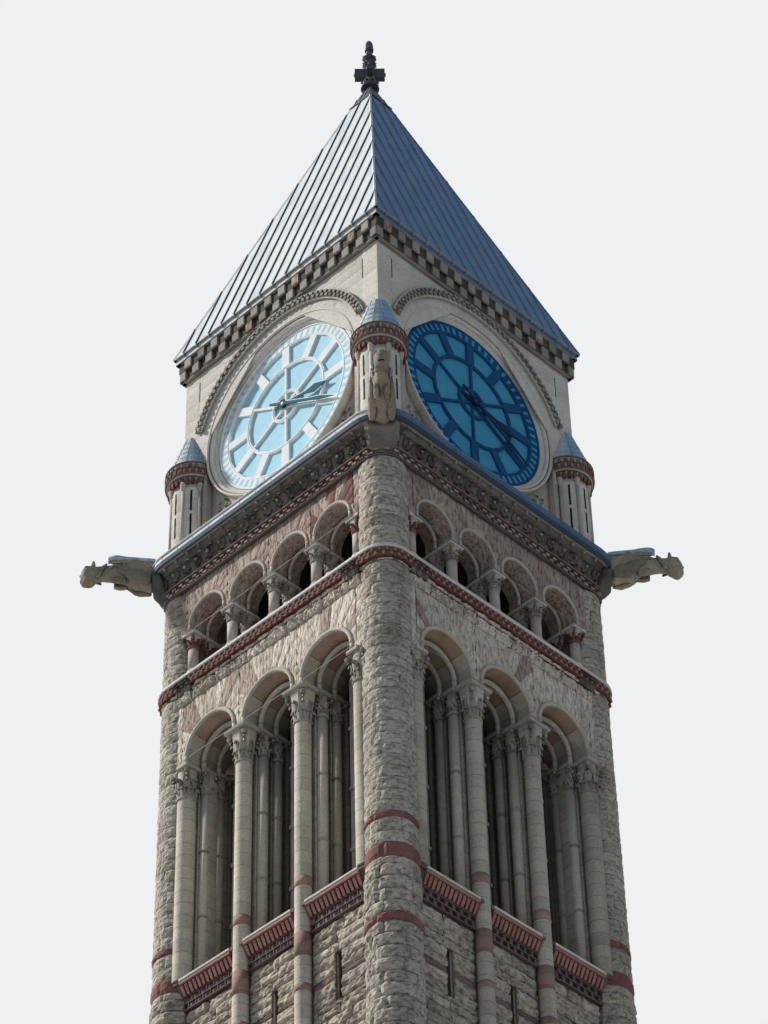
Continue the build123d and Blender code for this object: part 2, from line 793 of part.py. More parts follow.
def gargoyle_loft(sections):
    """Solid through eight-sided sections across the gargoyle's length."""
    planes = []
    for share, rise, wide, tall in sections:
        centre = (shaft_diagonal + share * gargoyle_reach, 0, gargoyle_level + rise * gargoyle_half_height)
        half, high = wide * gargoyle_half_width, tall * gargoyle_half_height
        with BuildSketch(Plane(origin=centre, x_dir=(0, 1, 0), z_dir=(1, 0, 0))) as section:
            with BuildLine():
                Polyline(
                    (half, -high / 2),
                    (half, high / 2),
                    (half / 2, high),
                    (-half / 2, high),
                    (-half, high / 2),
                    (-half, -high / 2),
                    (-half / 2, -high),
                    (half / 2, -high),
                    close=True,
                )
            make_face()
        planes.append(section.sketch)
    loft(planes, ruled=True)


def gargoyle_flank(outline, inner, thickness):
    """The same flat piece on both sides of the gargoyle, drawn in shares of its reach and half height."""
    for way in (-1, 1):
        side = Plane(origin=(shaft_diagonal, way * inner, gargoyle_level), x_dir=(1, 0, 0), z_dir=(0, way, 0))
        with BuildSketch(side) as flank:
            up = side.y_dir.Z
            corners = [(share * gargoyle_reach, up * rise * gargoyle_half_height) for share, rise in outline]
            Polygon(*corners, align=None)
        extrude(flank.sketch, amount=thickness)


folded_wing = ((0.34, 0.6), (0.4, 0.1), (0.72, 0.0), (0.77, 0.4), (0.77, 1.05), (0.7, 1.1), (0.34, 1.0))
haunch = ((0.36, 0.4), (0.34, -0.9), (0.44, -1.3), (0.56, -1.2), (0.62, -0.6), (0.56, 0.2))
ear = ((0.885, 0.5), (0.925, 0.5), (0.9, 1.2))
with BuildPart() as gargoyle:
    gargoyle_loft(gargoyle_body)
    gargoyle_loft(gargoyle_head)
    gargoyle_flank(folded_wing, gargoyle_half_width - wing_thickness, wing_thickness)
    gargoyle_flank(haunch, gargoyle_half_width - wing_thickness, 1.8 * wing_thickness)
    gargoyle_flank(ear, gargoyle_half_width / 4, wing_thickness)
    with Locations((shaft_diagonal, 0, 0)):
        add(cornice_room.part, mode=Mode.SUBTRACT)
with BuildPart() as gargoyles:
    with PolarLocations(0, len(faces), start_angle=45):
        add(gargoyle.part)
save(gargoyles.part, "gargoyles")
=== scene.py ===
from math import atan2, copysign, cos, hypot, pi, radians, sin, sqrt
from random import Random

import bmesh
import bpy
from mathutils import Matrix, Vector, noise


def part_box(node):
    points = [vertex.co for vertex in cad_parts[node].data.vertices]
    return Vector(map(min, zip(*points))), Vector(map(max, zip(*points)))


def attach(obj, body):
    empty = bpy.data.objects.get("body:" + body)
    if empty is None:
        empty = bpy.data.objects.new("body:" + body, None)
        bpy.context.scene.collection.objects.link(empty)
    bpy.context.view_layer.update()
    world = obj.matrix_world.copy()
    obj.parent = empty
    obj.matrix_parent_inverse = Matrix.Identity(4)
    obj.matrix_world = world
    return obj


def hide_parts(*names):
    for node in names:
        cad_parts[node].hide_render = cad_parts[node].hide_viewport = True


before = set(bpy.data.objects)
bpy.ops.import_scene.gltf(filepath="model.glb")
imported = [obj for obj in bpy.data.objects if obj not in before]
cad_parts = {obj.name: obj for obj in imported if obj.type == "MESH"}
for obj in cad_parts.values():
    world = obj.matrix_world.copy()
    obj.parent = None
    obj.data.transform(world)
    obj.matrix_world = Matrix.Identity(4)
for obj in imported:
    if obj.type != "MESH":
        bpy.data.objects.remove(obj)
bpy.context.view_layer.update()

# Lengths here are in millimetres of the model, and become metres when a mesh is made.
# A place on one side is given by u along the wall, v up it and a distance out from the tower's axis.
MILLIMETRE = 0.001
SIDES = {"front": 0, "right": 90, "back": 180, "left": 270}
CORNERS = ((-1, -1), (1, -1), (1, 1), (-1, 1))
dice = Random(7)


def levels(node):
    """Lowest and highest level of a part of the frame."""
    low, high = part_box(node)
    return low[2] / MILLIMETRE, high[2] / MILLIMETRE


# Sizes that repeat the frame's
SHAFT_AXIS = 449.2
SHAFT_RADIUS = 75.5
WALL_FACE = 475.0
BELFRY_FACE = 515.0
CLOCK_FACE = 471.3
BAY = 258.0
BAYS = (-BAY, 0.0, BAY)
COLUMN_AXIS = 490.0
COLUMN_RADIUS = 26.0
RESPOND_ALONG = 387.0
ARCH_SPRING = 6680.0
ABACUS_TOP = 6650.0
RING_DEPTH = 50.0
ARCADE_BAY = 192.0
ARCADE_BAYS = tuple((k - 1.5) * ARCADE_BAY for k in range(4))
ARCADE_SPRING = 7228.0
ARCADE_ABACUS_TOP = 7200.0
DIAL_HEIGHT = 8020.0
DIAL_RADIUS = 323.0
RECESS_RADIUS = 355.0
SILL_BOTTOM, SILL_TOP = levels("sill_course")
STRING_BOTTOM, STRING_TOP = levels("string_course")
CORNICE_BOTTOM, CORNICE_TOP = levels("main_cornice")
LEDGE_BOTTOM, LEDGE_TOP = levels("cornice_ledge")
EAVES_BOTTOM, EAVES_TOP = levels("eaves_cornice")
ROOF_BOTTOM, ROOF_TOP = levels("roof")
TURRET_TOP = levels("turrets")[1]
STRING_OUT, DENTIL_OUT, LEDGE_OUT = 85.8, 77.8, 125.8
FINIAL_TOP = levels("finial")[1]

# Masonry
JOINT = 1.6
WALL_COURSES = (32.0, 36.0, 30.0, 34.0, 38.0)
SHAFT_COURSES = (42.0, 39.0, 45.0, 41.0)
STONE_LENGTH = 105.0
BEDDING = 3.0


class Mesh:
    """Points and faces of one piece, in millimetres, with a material number for each face."""

    def __init__(self):
        self.points = []
        self.faces = []
        self.kinds = []

    def add(self, points, faces, kind=0):
        first = len(self.points)
        self.points.extend(points)
        self.faces.extend([tuple(first + corner for corner in face) for face in faces])
        self.kinds.extend([kind] * len(faces))


def piece(name, mesh, materials, smooth=False, body="tower", stands_for=(), tidy=True):
    """Make one object of a mesh, riding on a body of the frame."""
    data = bpy.data.meshes.new(name)
    data.from_pydata([Vector(point) * MILLIMETRE for point in mesh.points], [], mesh.faces)
    for material in materials:
        data.materials.append(material)
    data.polygons.foreach_set("material_index", mesh.kinds)
    if tidy:
        shape = bmesh.new()
        shape.from_mesh(data)
        bmesh.ops.recalc_face_normals(shape, faces=shape.faces)
        shape.to_mesh(data)
        shape.free()
    data.polygons.foreach_set("use_smooth", [smooth] * len(data.polygons))
    data.update()
    made = link(name, data)
    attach(made, body)
    if stands_for:
        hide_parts(*stands_for)
    return made


def grid_faces(rows, columns, closed=False):
    """Faces of a grid of points, row by row, whose columns may close into a tube."""
    faces = []
    for row in range(rows - 1):
        for column in range(columns if closed else columns - 1):
            beside = (column + 1) % columns
            faces.append((
                row * columns + column,
                row * columns + beside,
                (row + 1) * columns + beside,
                (row + 1) * columns + column,
            ))
    return faces


def ring_faces(stations, count):
    """Faces of a closed profile swept round a closed path."""
    faces = []
    for station in range(stations):
        after = (station + 1) % stations
        for k in range(count):
            beside = (k + 1) % count
            near, far = station * count, after * count
            faces.append((near + k, far + k, far + beside, near + beside))
    return faces


def link(name, data):
    """A new object in the scene."""
    made = bpy.data.objects.new(name, data)
    bpy.context.scene.collection.objects.link(made)
    return made


def heading(angle):
    """Level direction at an angle from +X."""
    return (cos(angle), sin(angle), 0)


def beyond(centre, direction, reach, level=None):
    """Point at a reach from a centre, in plan or at a level."""
    x, y = centre[0] + reach * direction[0], centre[1] + reach * direction[1]
    return (x, y) if level is None else (x, y, level)


def moulding(radius, level, *points):
    """A profile whose points are given from one radius, or distance out, and one level."""
    return [(radius + out, level + rise) for out, rise in points]


def pairs(found):
    """Each two neighbours of a row of joints or beds."""
    return zip(found, found[1:])


def on_side(turn, base):
    """Places on one side of the tower: u along the wall, v up, out from a plane."""
    along_x, along_y = cos(radians(turn)), sin(radians(turn))

    def place(u, v, out):
        reach = base + out
        return (along_x * u + along_y * reach, along_y * u - along_x * reach, v)

    return place


def on_shaft(centre_x, centre_y, radius):
    """Places on a round shaft: u is an angle, v is up, out from its radius."""

    def place(u, v, out):
        return (centre_x + (radius + out) * cos(u), centre_y + (radius + out) * sin(u), v)

    return place


def around(radius):
    """Places on a course that runs round the tower and turns round its corner shafts."""
    straight = 2 * SHAFT_AXIS
    arc = radius * pi / 2

    def place(u, v, out):
        quarter, rest = divmod(u, straight + arc)
        turn = quarter * pi / 2
        x, reach = rest - SHAFT_AXIS, SHAFT_AXIS + radius + out
        if rest > straight:
            bend = (rest - straight) / radius
            x = SHAFT_AXIS + (radius + out) * sin(bend)
            reach = SHAFT_AXIS + (radius + out) * cos(bend)
        return (cos(turn) * x + sin(turn) * reach, sin(turn) * x - cos(turn) * reach, v)

    return place


def length_around(radius):
    """Length of such a course at its face."""
    return 4 * (2 * SHAFT_AXIS + radius * pi / 2)


def polar(place, centre, spring, side=1e9, top=1e9, bottom=-1e9):
    """Places round an arch: u is an angle from its crown, v a radius, kept within a frame."""

    def placed(u, v, out):
        x = max(-side, min(side, v * sin(u)))
        z = max(bottom, min(top, spring + v * cos(u)))
        return place(centre + x, z, out)

    return placed


def clear_of_arches(place, centres, spring, radius):
    """The same wall with round-headed openings, which push the stones' edges aside."""

    def placed(u, v, out):
        for centre in centres:
            x, z = u - centre, v - spring
            reach = hypot(x, z)
            if z <= 0 and abs(x) < radius:
                u = centre + copysign(radius, x)
            elif z > 0 and reach < radius:
                u = centre + x * radius / max(reach, 1e-6)
                v = spring + z * radius / max(reach, 1e-6)
        return place(u, v, out)

    return placed


def area(points):
    """Area of a loop of points."""
    total = Vector((0, 0, 0))
    first = Vector(points[0])
    for a, b in zip(points[1:], points[2:]):
        total += (Vector(a) - first).cross(Vector(b) - first)
    return total.length / 2


def block(mesh, place, u, v, proud, rough, cells, joint=(JOINT / 2, JOINT / 2), kind=0):
    """One stone: a cushion that stands proud of its wall, with chipped faces where it is rough."""
    columns, rows = cells
    salt = Vector((dice.uniform(0, 900), dice.uniform(0, 900), dice.uniform(0, 900)))
    u0, u1 = u[0] + joint[0], u[1] - joint[0]
    v0, v1 = v[0] + joint[1], v[1] - joint[1]
    flat = []
    front = []
    for row in range(rows + 1):
        for column in range(columns + 1):
            a = u0 + (u1 - u0) * column / columns
            b = v0 + (v1 - v0) * row / rows
            edge = column in (0, columns) or row in (0, rows)
            chip = rough * noise.noise(salt + Vector((column * 0.83, row * 0.71, 0)))
            out = proud * ((0.15 if edge else 1.0) + chip)
            flat.append((a, b))
            front.append(place(a, b, out))
    loop = list(range(columns + 1))
    loop += [row * (columns + 1) + columns for row in range(1, rows + 1)]
    loop += [rows * (columns + 1) + column for column in range(columns - 1, -1, -1)]
    loop += [row * (columns + 1) for row in range(rows - 1, 0, -1)]
    if area([front[corner] for corner in loop]) < 60:
        return
    back = [place(*flat[corner], -BEDDING) for corner in loop]
    faces = grid_faces(rows + 1, columns + 1)
    start = len(front)
    for k, corner in enumerate(loop):
        after = (k + 1) % len(loop)
        faces.append((loop[after], corner, start + k, start + after))
    mesh.add(front + back, faces, kind)


def joints(start, end, length, breaks=()):
    """Upright joints along one course, about one length apart, with a joint at each break."""
    found = [start]
    for stop in sorted(b for b in breaks if start < b < end) + [end]:
        first = found[-1]
        count = max(1, round((stop - first) / (length * dice.uniform(0.75, 1.3))))
        for k in range(1, count):
            found.append(first + (stop - first) * (k + dice.uniform(-0.2, 0.2)) / count)
        found.append(stop)
    return found


def beds(bottom, top, heights):
    """Bed joints of courses of mixed heights that fill a wall."""
    found = [bottom]
    k = 0
    while top - found[-1] > 1.5 * heights[k]:
        found.append(found[-1] + heights[k])
        k = (k + 1) % len(heights)
    return found + [top]


def box(mesh, place, u, v, out, chamfer=0.0, kind=0, unit=1.0):
    """A block with its front edges cut back, where one unit of u is so many millimetres."""
    rings = []
    for depth, inset in ((out[0], 0), (out[1] - chamfer, 0), (out[1], chamfer)):
        aside = inset / unit
        corners = (
            (u[0] + aside, v[0] + inset),
            (u[1] - aside, v[0] + inset),
            (u[1] - aside, v[1] - inset),
            (u[0] + aside, v[1] - inset),
        )
        rings += [place(a, b, depth) for a, b in corners]
    faces = grid_faces(3, 4, closed=True) + [(3, 2, 1, 0), (8, 9, 10, 11)]
    mesh.add(rings, faces, kind)


def bar(mesh, points, kind=0):
    """A block through four points at its back and four at its front."""
    mesh.add(points, grid_faces(2, 4, closed=True) + [(3, 2, 1, 0), (4, 5, 6, 7)], kind)


def roll(mesh, place, centre, spring, radius, out, thickness, start=-pi / 2, end=pi / 2, steps=24, sides=8):
    """A round moulding bent round an arch: thickness is its own radius."""
    points = []
    for step in range(steps + 1):
        angle = start + (end - start) * step / steps
        for side in range(sides):
            around_it = 2 * pi * side / sides
            reach = radius + thickness * cos(around_it)
            points.append(place(
                centre + reach * sin(angle), spring + reach * cos(angle), out + thickness * sin(around_it)
            ))
    faces = grid_faces(steps + 1, sides, closed=True)
    faces.append(tuple(range(sides)))
    faces.append(tuple(range(steps * sides, (steps + 1) * sides)))
    mesh.add(points, faces)


def lathe(mesh, centre, profile, sides=16, kind=0):
    """A turned shape on an upright axis. The profile is (radius, level) from the bottom up."""
    points = []
    for radius, level in profile:
        for side in range(sides):
            angle = 2 * pi * (side + 0.5) / sides
            points.append((centre[0] + radius * cos(angle), centre[1] + radius * sin(angle), level))
    faces = grid_faces(len(profile), sides, closed=True)
    faces.append(tuple(reversed(range(sides))))
    faces.append(tuple(range((len(profile) - 1) * sides, len(profile) * sides)))
    mesh.add(points, faces, kind)


def leaf(mesh, root, up, outward, length, width, curl, thickness=2.0, lobes=3, kind=0):
    """A carved leaf that stands up from its root, leans out and curls over at its tip."""
    up, outward = Vector(up).normalized(), Vector(outward).normalized()
    across = up.cross(outward)
    steps = 5
    front = []
    for step in range(steps + 1):
        t = step / steps
        spread = width / 2 * (0.55 + 0.45 * sin(pi * min(1.0, 1.3 * t))) * (1 - 0.55 * t * t)
        spread *= 1 + 0.22 * cos(2 * pi * lobes * t)
        lean = curl * t ** 2.2
        height = length * (t - 0.42 * max(0.0, t - 0.72) ** 1.2 * 6)
        middle = Vector(root) + up * height + outward * lean
        for way, rise in ((-1, -0.25), (-0.45, 0.1), (0, 0.35), (0.45, 0.1), (1, -0.25)):
            front.append(middle + across * spread * way + outward * rise * width * 0.25)
    back = [point - outward * thickness for point in front]
    rows, columns = steps + 1, 5
    faces = grid_faces(rows, columns)
    faces += [tuple(corner + len(front) for corner in reversed(face)) for face in grid_faces(rows, columns)]
    rim = list(range(columns)) + [row * columns + columns - 1 for row in range(1, rows)]
    rim += [(rows - 1) * columns + column for column in range(columns - 2, -1, -1)]
    rim += [row * columns for row in range(rows - 2, 0, -1)]
    for k, corner in enumerate(rim):
        after = rim[(k + 1) % len(rim)]
        faces.append((after, corner, corner + len(front), after + len(front)))
    mesh.add([tuple(point) for point in front + back], faces, kind)


def ball(mesh, centre, radius, stretch=(1, 1, 1), rings=4, sides=8, kind=0):
    """A small round bead."""
    points = []
    for ring in range(1, rings):
        tilt = pi * ring / rings
        for side in range(sides):
            angle = 2 * pi * side / sides
            points.append((
                centre[0] + radius * stretch[0] * sin(tilt) * cos(angle),
                centre[1] + radius * stretch[1] * sin(tilt) * sin(angle),
                centre[2] - radius * stretch[2] * cos(tilt),
            ))
    points.append((centre[0], centre[1], centre[2] - radius * stretch[2]))
    points.append((centre[0], centre[1], centre[2] + radius * stretch[2]))
    faces = grid_faces(rings - 1, sides, closed=True)
    low, high = len(points) - 2, len(points) - 1
    last = (rings - 2) * sides
    for side in range(sides):
        beside = (side + 1) % sides
        faces.append((low, beside, side))
        faces.append((high, last + side, last + beside))
    mesh.add(points, faces, kind)


# Materials

class Nodes:
    """A tree of shader nodes, built from the outputs of earlier nodes."""

    def __init__(self, tree):
        self.nodes, self.links = tree.nodes, tree.links

    def add(self, kind, *sockets, output=0, **named):
        """An output of a new node. Its sockets are set or linked in order, or by name like its settings."""
        made = self.nodes.new("ShaderNode" + kind)
        given = list(zip(made.inputs, sockets))
        for name, value in named.items():
            if hasattr(made, name):
                setattr(made, name, value)
            else:
                given.append((made.inputs[name.replace("_", " ")], value))
        for socket, value in given:
            if isinstance(value, bpy.types.NodeSocket):
                self.links.new(value, socket)
            else:
                socket.default_value = value
        return made.outputs[output]

    def ramp(self, factor, *stops):
        """A colour ramp with stops of (place, colour), where a plain number is a grey."""
        made = self.nodes.new("ShaderNodeValToRGB")
        elements = made.color_ramp.elements
        while len(elements) < len(stops):
            elements.new(0.5)
        for element, (place, colour) in zip(elements, stops):
            element.position = place
            element.color = (*(colour if isinstance(colour, tuple) else (colour,) * 3), 1)
        self.links.new(factor, made.inputs["Fac"])
        return made.outputs["Color"]

    def mixed(self, factor, first, second, blend="MIX"):
        """A mix of two colours or outputs."""
        made = self.nodes.new("ShaderNodeMix")
        made.data_type = "RGBA"
        made.blend_type = blend
        made.clamp_factor = True
        for place, value in ((0, factor), (6, first), (7, second)):
            if isinstance(value, bpy.types.NodeSocket):
                self.links.new(value, made.inputs[place])
            else:
                made.inputs[place].default_value = (*value, 1) if isinstance(value, tuple) else value
        return made.outputs[2]

    def tinted(self, colour, factor, *stops):
        """A colour multiplied by a ramp."""
        return self.mixed(1.0, colour, self.ramp(factor, *stops), "MULTIPLY")

    def along(self, axis):
        """A coordinate in the row's own frame, in metres."""
        return self.add("SeparateXYZ", self.add("TexCoord", output="Object"), output=axis)

    def noise(self, scale, detail=3.0, stretch=(1, 1, 1)):
        """Noise in the row's own frame, in metres, stretched along its axes."""
        mapped = self.add("Mapping", self.add("TexCoord", output="Object"), Scale=stretch)
        return self.add("TexNoise", mapped, Scale=scale, Detail=detail, output="Fac")

    def shade(self, distance):
        """How open a place is to the light near it."""
        return self.add("AmbientOcclusion", samples=6, Distance=distance, output="AO")


class Paint(Nodes):
    """A material with one shader."""

    def __init__(self, name, specular, roughness=None):
        self.material = bpy.data.materials.new(name)
        self.material.use_nodes = True
        super().__init__(self.material.node_tree)
        self.shader = self.nodes["Principled BSDF"]
        self.shader.inputs["Specular IOR Level"].default_value = specular
        if roughness:
            self.shader.inputs["Roughness"].default_value = roughness

    def finish(self, colour, *bumps):
        """Give the material, in a colour and with bumps in layers of (height, strength, distance)."""
        below = {}
        for height, strength, distance in bumps:
            below = {"Normal": self.add("Bump", Height=height, Strength=strength, Distance=distance, **below)}
        self.links.new(colour, self.shader.inputs["Base Color"])
        self.links.new(below["Normal"], self.shader.inputs["Normal"])
        return self.material


STONE_GRAIN = 260.0
SOOT_TINT = (0.34, 0.31, 0.28)
METAL_CLOUDS = 22.0
DIALS_LIT_FRONT = -0.42


def stone(name, tones, relief=0.35, soot=0.45, crevice_shade=0.6, beds_every=None, grooves=None):
    """Sandstone: a tone for each block, clouds and grain, soot in streaks, tooling, and painted shade in its hollows
    and on the belfry's inner faces.
    """
    paint = Paint(name, 0.25, 0.9)
    clouds = paint.add("Math", paint.noise(9.0, 4.0, (1, 1, 3)), 0.7, -0.35, operation="MULTIPLY_ADD")
    block_tone = paint.add("NewGeometry", output="Random Per Island")
    total = paint.add("Math", block_tone, clouds, operation="ADD")
    colour = paint.ramp(total, *[(k / (len(tones) - 1), tone) for k, tone in enumerate(tones)])
    speckle = paint.noise(STONE_GRAIN, 5.0)
    colour = paint.tinted(colour, speckle, (0.3, (0.72, 0.7, 0.68)), (0.5, 1), (0.72, (1.22, 1.2, 1.16)))
    streaks = paint.ramp(paint.noise(14.0, 5.0, (1, 1, 0.22)), (0.48, 0), (0.72, 1))
    sooty = paint.add("Math", streaks, soot, operation="MULTIPLY")
    colour = paint.mixed(sooty, colour, SOOT_TINT, "MULTIPLY")
    if beds_every:
        colour = bedded(paint, colour, beds_every)
    bumps = [(paint.noise(STONE_GRAIN / 4, 6.0), relief, 0.004)]
    if grooves:
        tooled = paint.noise(95.0, 4.0, grooves)
        colour = paint.tinted(colour, tooled, (0.36, (0.56, 0.54, 0.52)), (0.5, 1), (0.68, (1.16, 1.15, 1.12)))
        bumps.append((tooled, 1.0, 0.009))
    # Painted shade: darker in hollows where nearby stone closes the surface in, and on the inner faces.
    colour = paint.tinted(inside(paint, colour), paint.shade(0.02), (0.25, 1 - crevice_shade), (0.85, 1))
    return paint.finish(colour, *bumps, (speckle, relief * 0.6, 0.001))


def inside(paint, colour):
    """The same colour darkened on the belfry's inner faces, near the tower's axis: painted shade."""
    reaches = [paint.add("Math", paint.along(axis), operation="ABSOLUTE") for axis in ("X", "Y")]
    widest = paint.add("Math", *reaches, operation="MAXIMUM")
    return paint.tinted(colour, widest, (0.34, (0.16, 0.155, 0.15)), (0.39, (0.55, 0.55, 0.54)), (0.45, 1))


def bedded(paint, colour, every):
    """Darken thin bed joints at even levels, and give each drum between them its own tone."""
    courses = paint.add("Math", paint.along("Z"), every, operation="DIVIDE")
    whole = paint.add("Math", courses, operation="FLOOR")
    number = paint.add("TexWhiteNoise", noise_dimensions="1D", W=whole)
    colour = paint.tinted(
        colour, number, (0, (0.86, 0.85, 0.84)), (0.4, 1), (0.8, (1.07, 1.05, 1.0)),
        (0.84, (0.88, 0.7, 0.64)), (1, (0.84, 0.64, 0.58)),
    )
    height = paint.add("Math", courses, operation="FRACT")
    return paint.tinted(colour, height, (0, (0.5, 0.48, 0.45)), (0.03, (0.55, 0.53, 0.5)), (0.055, 1))


def metal(name, sunny, shady, roughness=0.45, streak=(1, 1, 0.15)):
    """Painted sheet metal, streaked down its slope, with painted light: a lit colour on the faces towards the front and
    left and a shaded colour on the faces turned away, which also paints the sky's blue reflection, and painted shade in
    its hollows.
    """
    paint = Paint(name, 0.15)
    normal = paint.add("NewGeometry", output="True Normal")
    both = paint.add(
        "Math", paint.add("SeparateXYZ", normal, output="X"), paint.add("SeparateXYZ", normal, output="Y"),
        operation="ADD",
    )
    # Faces towards the front and left take the lit colour and the rest the shaded one: painted light and shade.
    side = paint.add("MapRange", both, From_Min=0.25, From_Max=-0.25, output="Result")
    clouds = paint.noise(METAL_CLOUDS, 5.0, streak)
    colour = paint.mixed(side, shady, sunny)
    colour = paint.tinted(colour, clouds, (0.3, (0.78, 0.8, 0.82)), (0.5, 1), (0.75, (1.12, 1.11, 1.1)))
    # Painted shade: darker where nearby parts close the surface in.
    colour = paint.tinted(colour, paint.shade(0.012), (0.2, (0.45, 0.45, 0.47)), (0.8, 1))
    rough = paint.add(
        "MapRange", paint.noise(2 * METAL_CLOUDS, 4.0, streak), output="Result",
        To_Min=roughness - 0.08, To_Max=roughness + 0.14,
    )
    paint.links.new(rough, paint.shader.inputs["Roughness"])
    return paint.finish(colour, (paint.noise(4 * METAL_CLOUDS, 3.0, streak), 0.08, 0.002))


def dial_paint(name, front, shaded_others, roughness):
    """Paint or glass of the dials, with painted light: one colour for the sunlit front and a deeper, shaded colour for
    the other sides, with the sky's blue reflection painted in.
    """
    paint = Paint(name, 0.05, roughness)
    # The front's sunlit colour against the other sides' shaded colour: painted light and shade.
    lit_front_mask = paint.add("Math", paint.along("Y"), DIALS_LIT_FRONT, operation="LESS_THAN")
    colour = paint.tinted(
        paint.mixed(lit_front_mask, shaded_others, front), paint.noise(30.0, 4.0),
        (0.3, (0.9, 0.91, 0.92)), (0.55, 1), (0.8, 1.05),
    )
    return paint.finish(colour, (paint.noise(120.0, 2.0), 0.05, 0.001))


ROUGH_TONES = [
    (0.52, 0.46, 0.39), (0.61, 0.545, 0.465), (0.68, 0.61, 0.53), (0.59, 0.51, 0.44), (0.65, 0.57, 0.48),
]
WALL_TONES = [(0.36, 0.315, 0.265), (0.45, 0.395, 0.33), (0.54, 0.475, 0.4), (0.41, 0.35, 0.295)]
SHAFT_TONES = [(0.36, 0.325, 0.28), (0.44, 0.4, 0.345), (0.51, 0.465, 0.4), (0.4, 0.355, 0.305)]
SMOOTH_TONES = [(0.44, 0.4, 0.34), (0.51, 0.465, 0.4), (0.57, 0.52, 0.45), (0.49, 0.435, 0.375)]
RED_TONES = [(0.12, 0.05, 0.043), (0.17, 0.07, 0.06), (0.23, 0.1, 0.085), (0.15, 0.062, 0.053)]
SILL_TONES = [(0.13, 0.092, 0.083), (0.18, 0.125, 0.112), (0.24, 0.165, 0.148)]
PINK_TONES = [(0.31, 0.235, 0.2), (0.39, 0.3, 0.26), (0.46, 0.37, 0.32), (0.34, 0.245, 0.21)]
PALE_TONES = [(0.56, 0.525, 0.475), (0.61, 0.575, 0.525), (0.65, 0.615, 0.565), (0.57, 0.525, 0.475)]
BAND_TONES = [(0.2, 0.09, 0.084), (0.26, 0.118, 0.11), (0.17, 0.08, 0.075)]
DARK_TONES = [(0.085, 0.077, 0.068), (0.14, 0.127, 0.11), (0.22, 0.2, 0.175), (0.12, 0.1, 0.088)]
CARVED_TONES = [(0.22, 0.2, 0.175), (0.31, 0.285, 0.25), (0.4, 0.37, 0.33), (0.27, 0.24, 0.21)]
BILLET_TONES = [(0.22, 0.2, 0.18), (0.3, 0.275, 0.25), (0.36, 0.335, 0.305), (0.26, 0.23, 0.208)]
GARGOYLE_TONES = [(0.2, 0.175, 0.14), (0.36, 0.315, 0.25), (0.28, 0.235, 0.19)]
UPRIGHT_TOOLING = (1, 1, 0.3)
LEVEL_TOOLING = (0.6, 0.6, 1)

rough_stone = stone("rough_stone", ROUGH_TONES, relief=0.6, grooves=UPRIGHT_TOOLING)
wall_stone = stone("wall_stone", WALL_TONES, relief=0.6, grooves=LEVEL_TOOLING)
shaft_stone = stone("shaft_stone", SHAFT_TONES, relief=0.7, grooves=LEVEL_TOOLING)
smooth_stone = stone("smooth_stone", SMOOTH_TONES, relief=0.22, beds_every=0.045)
slim_stone = stone("slim_stone", SMOOTH_TONES, relief=0.15, soot=0.3)
red_stone = stone("red_stone", RED_TONES, relief=0.4, soot=0.3)
band_stone = stone("band_stone", BAND_TONES, relief=0.6, soot=0.4)
drum_stone = stone("drum_stone", [(0.3, 0.2, 0.17), (0.38, 0.26, 0.225)], relief=0.2, beds_every=0.045)
flute_stone = stone("flute_stone", [(0.32, 0.155, 0.14), (0.4, 0.21, 0.19)], relief=0.3, soot=0.25)
# Paler than the string's red, partly as painted highlights on the beads.
bead_stone = stone("bead_stone", [(0.3, 0.185, 0.16), (0.4, 0.27, 0.24)], relief=0.3, soot=0.25)
sill_stone = stone("sill_stone", SILL_TONES, relief=0.4, soot=0.3)
pink_stone = stone("pink_stone", PINK_TONES, relief=0.6, soot=0.3, grooves=UPRIGHT_TOOLING)
buff_stone = stone("buff_stone", [(0.44, 0.39, 0.345), (0.53, 0.475, 0.425)], relief=0.15, soot=0.25)
pale_stone = stone("pale_stone", PALE_TONES, relief=0.2, soot=0.22)
pale_mortar = stone("pale_mortar", [(0.44, 0.4, 0.355), (0.5, 0.45, 0.4)], relief=0.2)
mortar = stone("mortar", [(0.14, 0.12, 0.1), (0.18, 0.155, 0.13)], relief=0.4)
carved_stone = stone("carved_stone", DARK_TONES, relief=0.5, crevice_shade=0.85)
capital_stone = stone("capital_stone", CARVED_TONES, relief=0.35, crevice_shade=0.9)
billet_stone = stone("billet_stone", BILLET_TONES, relief=0.35)
eaves_shadow = stone("eaves_shadow", [(0.07, 0.058, 0.048), (0.1, 0.085, 0.07)], relief=0.4)
gargoyle_stone = stone("gargoyle_stone", GARGOYLE_TONES, relief=0.4, crevice_shade=0.85)
# A dark stone for the floors inside the tower: painted shade of the interior.
shaded_floor_stone = stone("shaded_floor_stone", [(0.14, 0.12, 0.1), (0.18, 0.155, 0.13)], relief=0.4)
# A pale stone for the string's top, the sill's lip and the arcade's slabs and bases, which stands in part for painted
# sunlight on their upper faces.
pale_top_stone = stone("pale_top_stone", [(0.6, 0.57, 0.53), (0.7, 0.67, 0.63)], relief=0.25, soot=0.2)
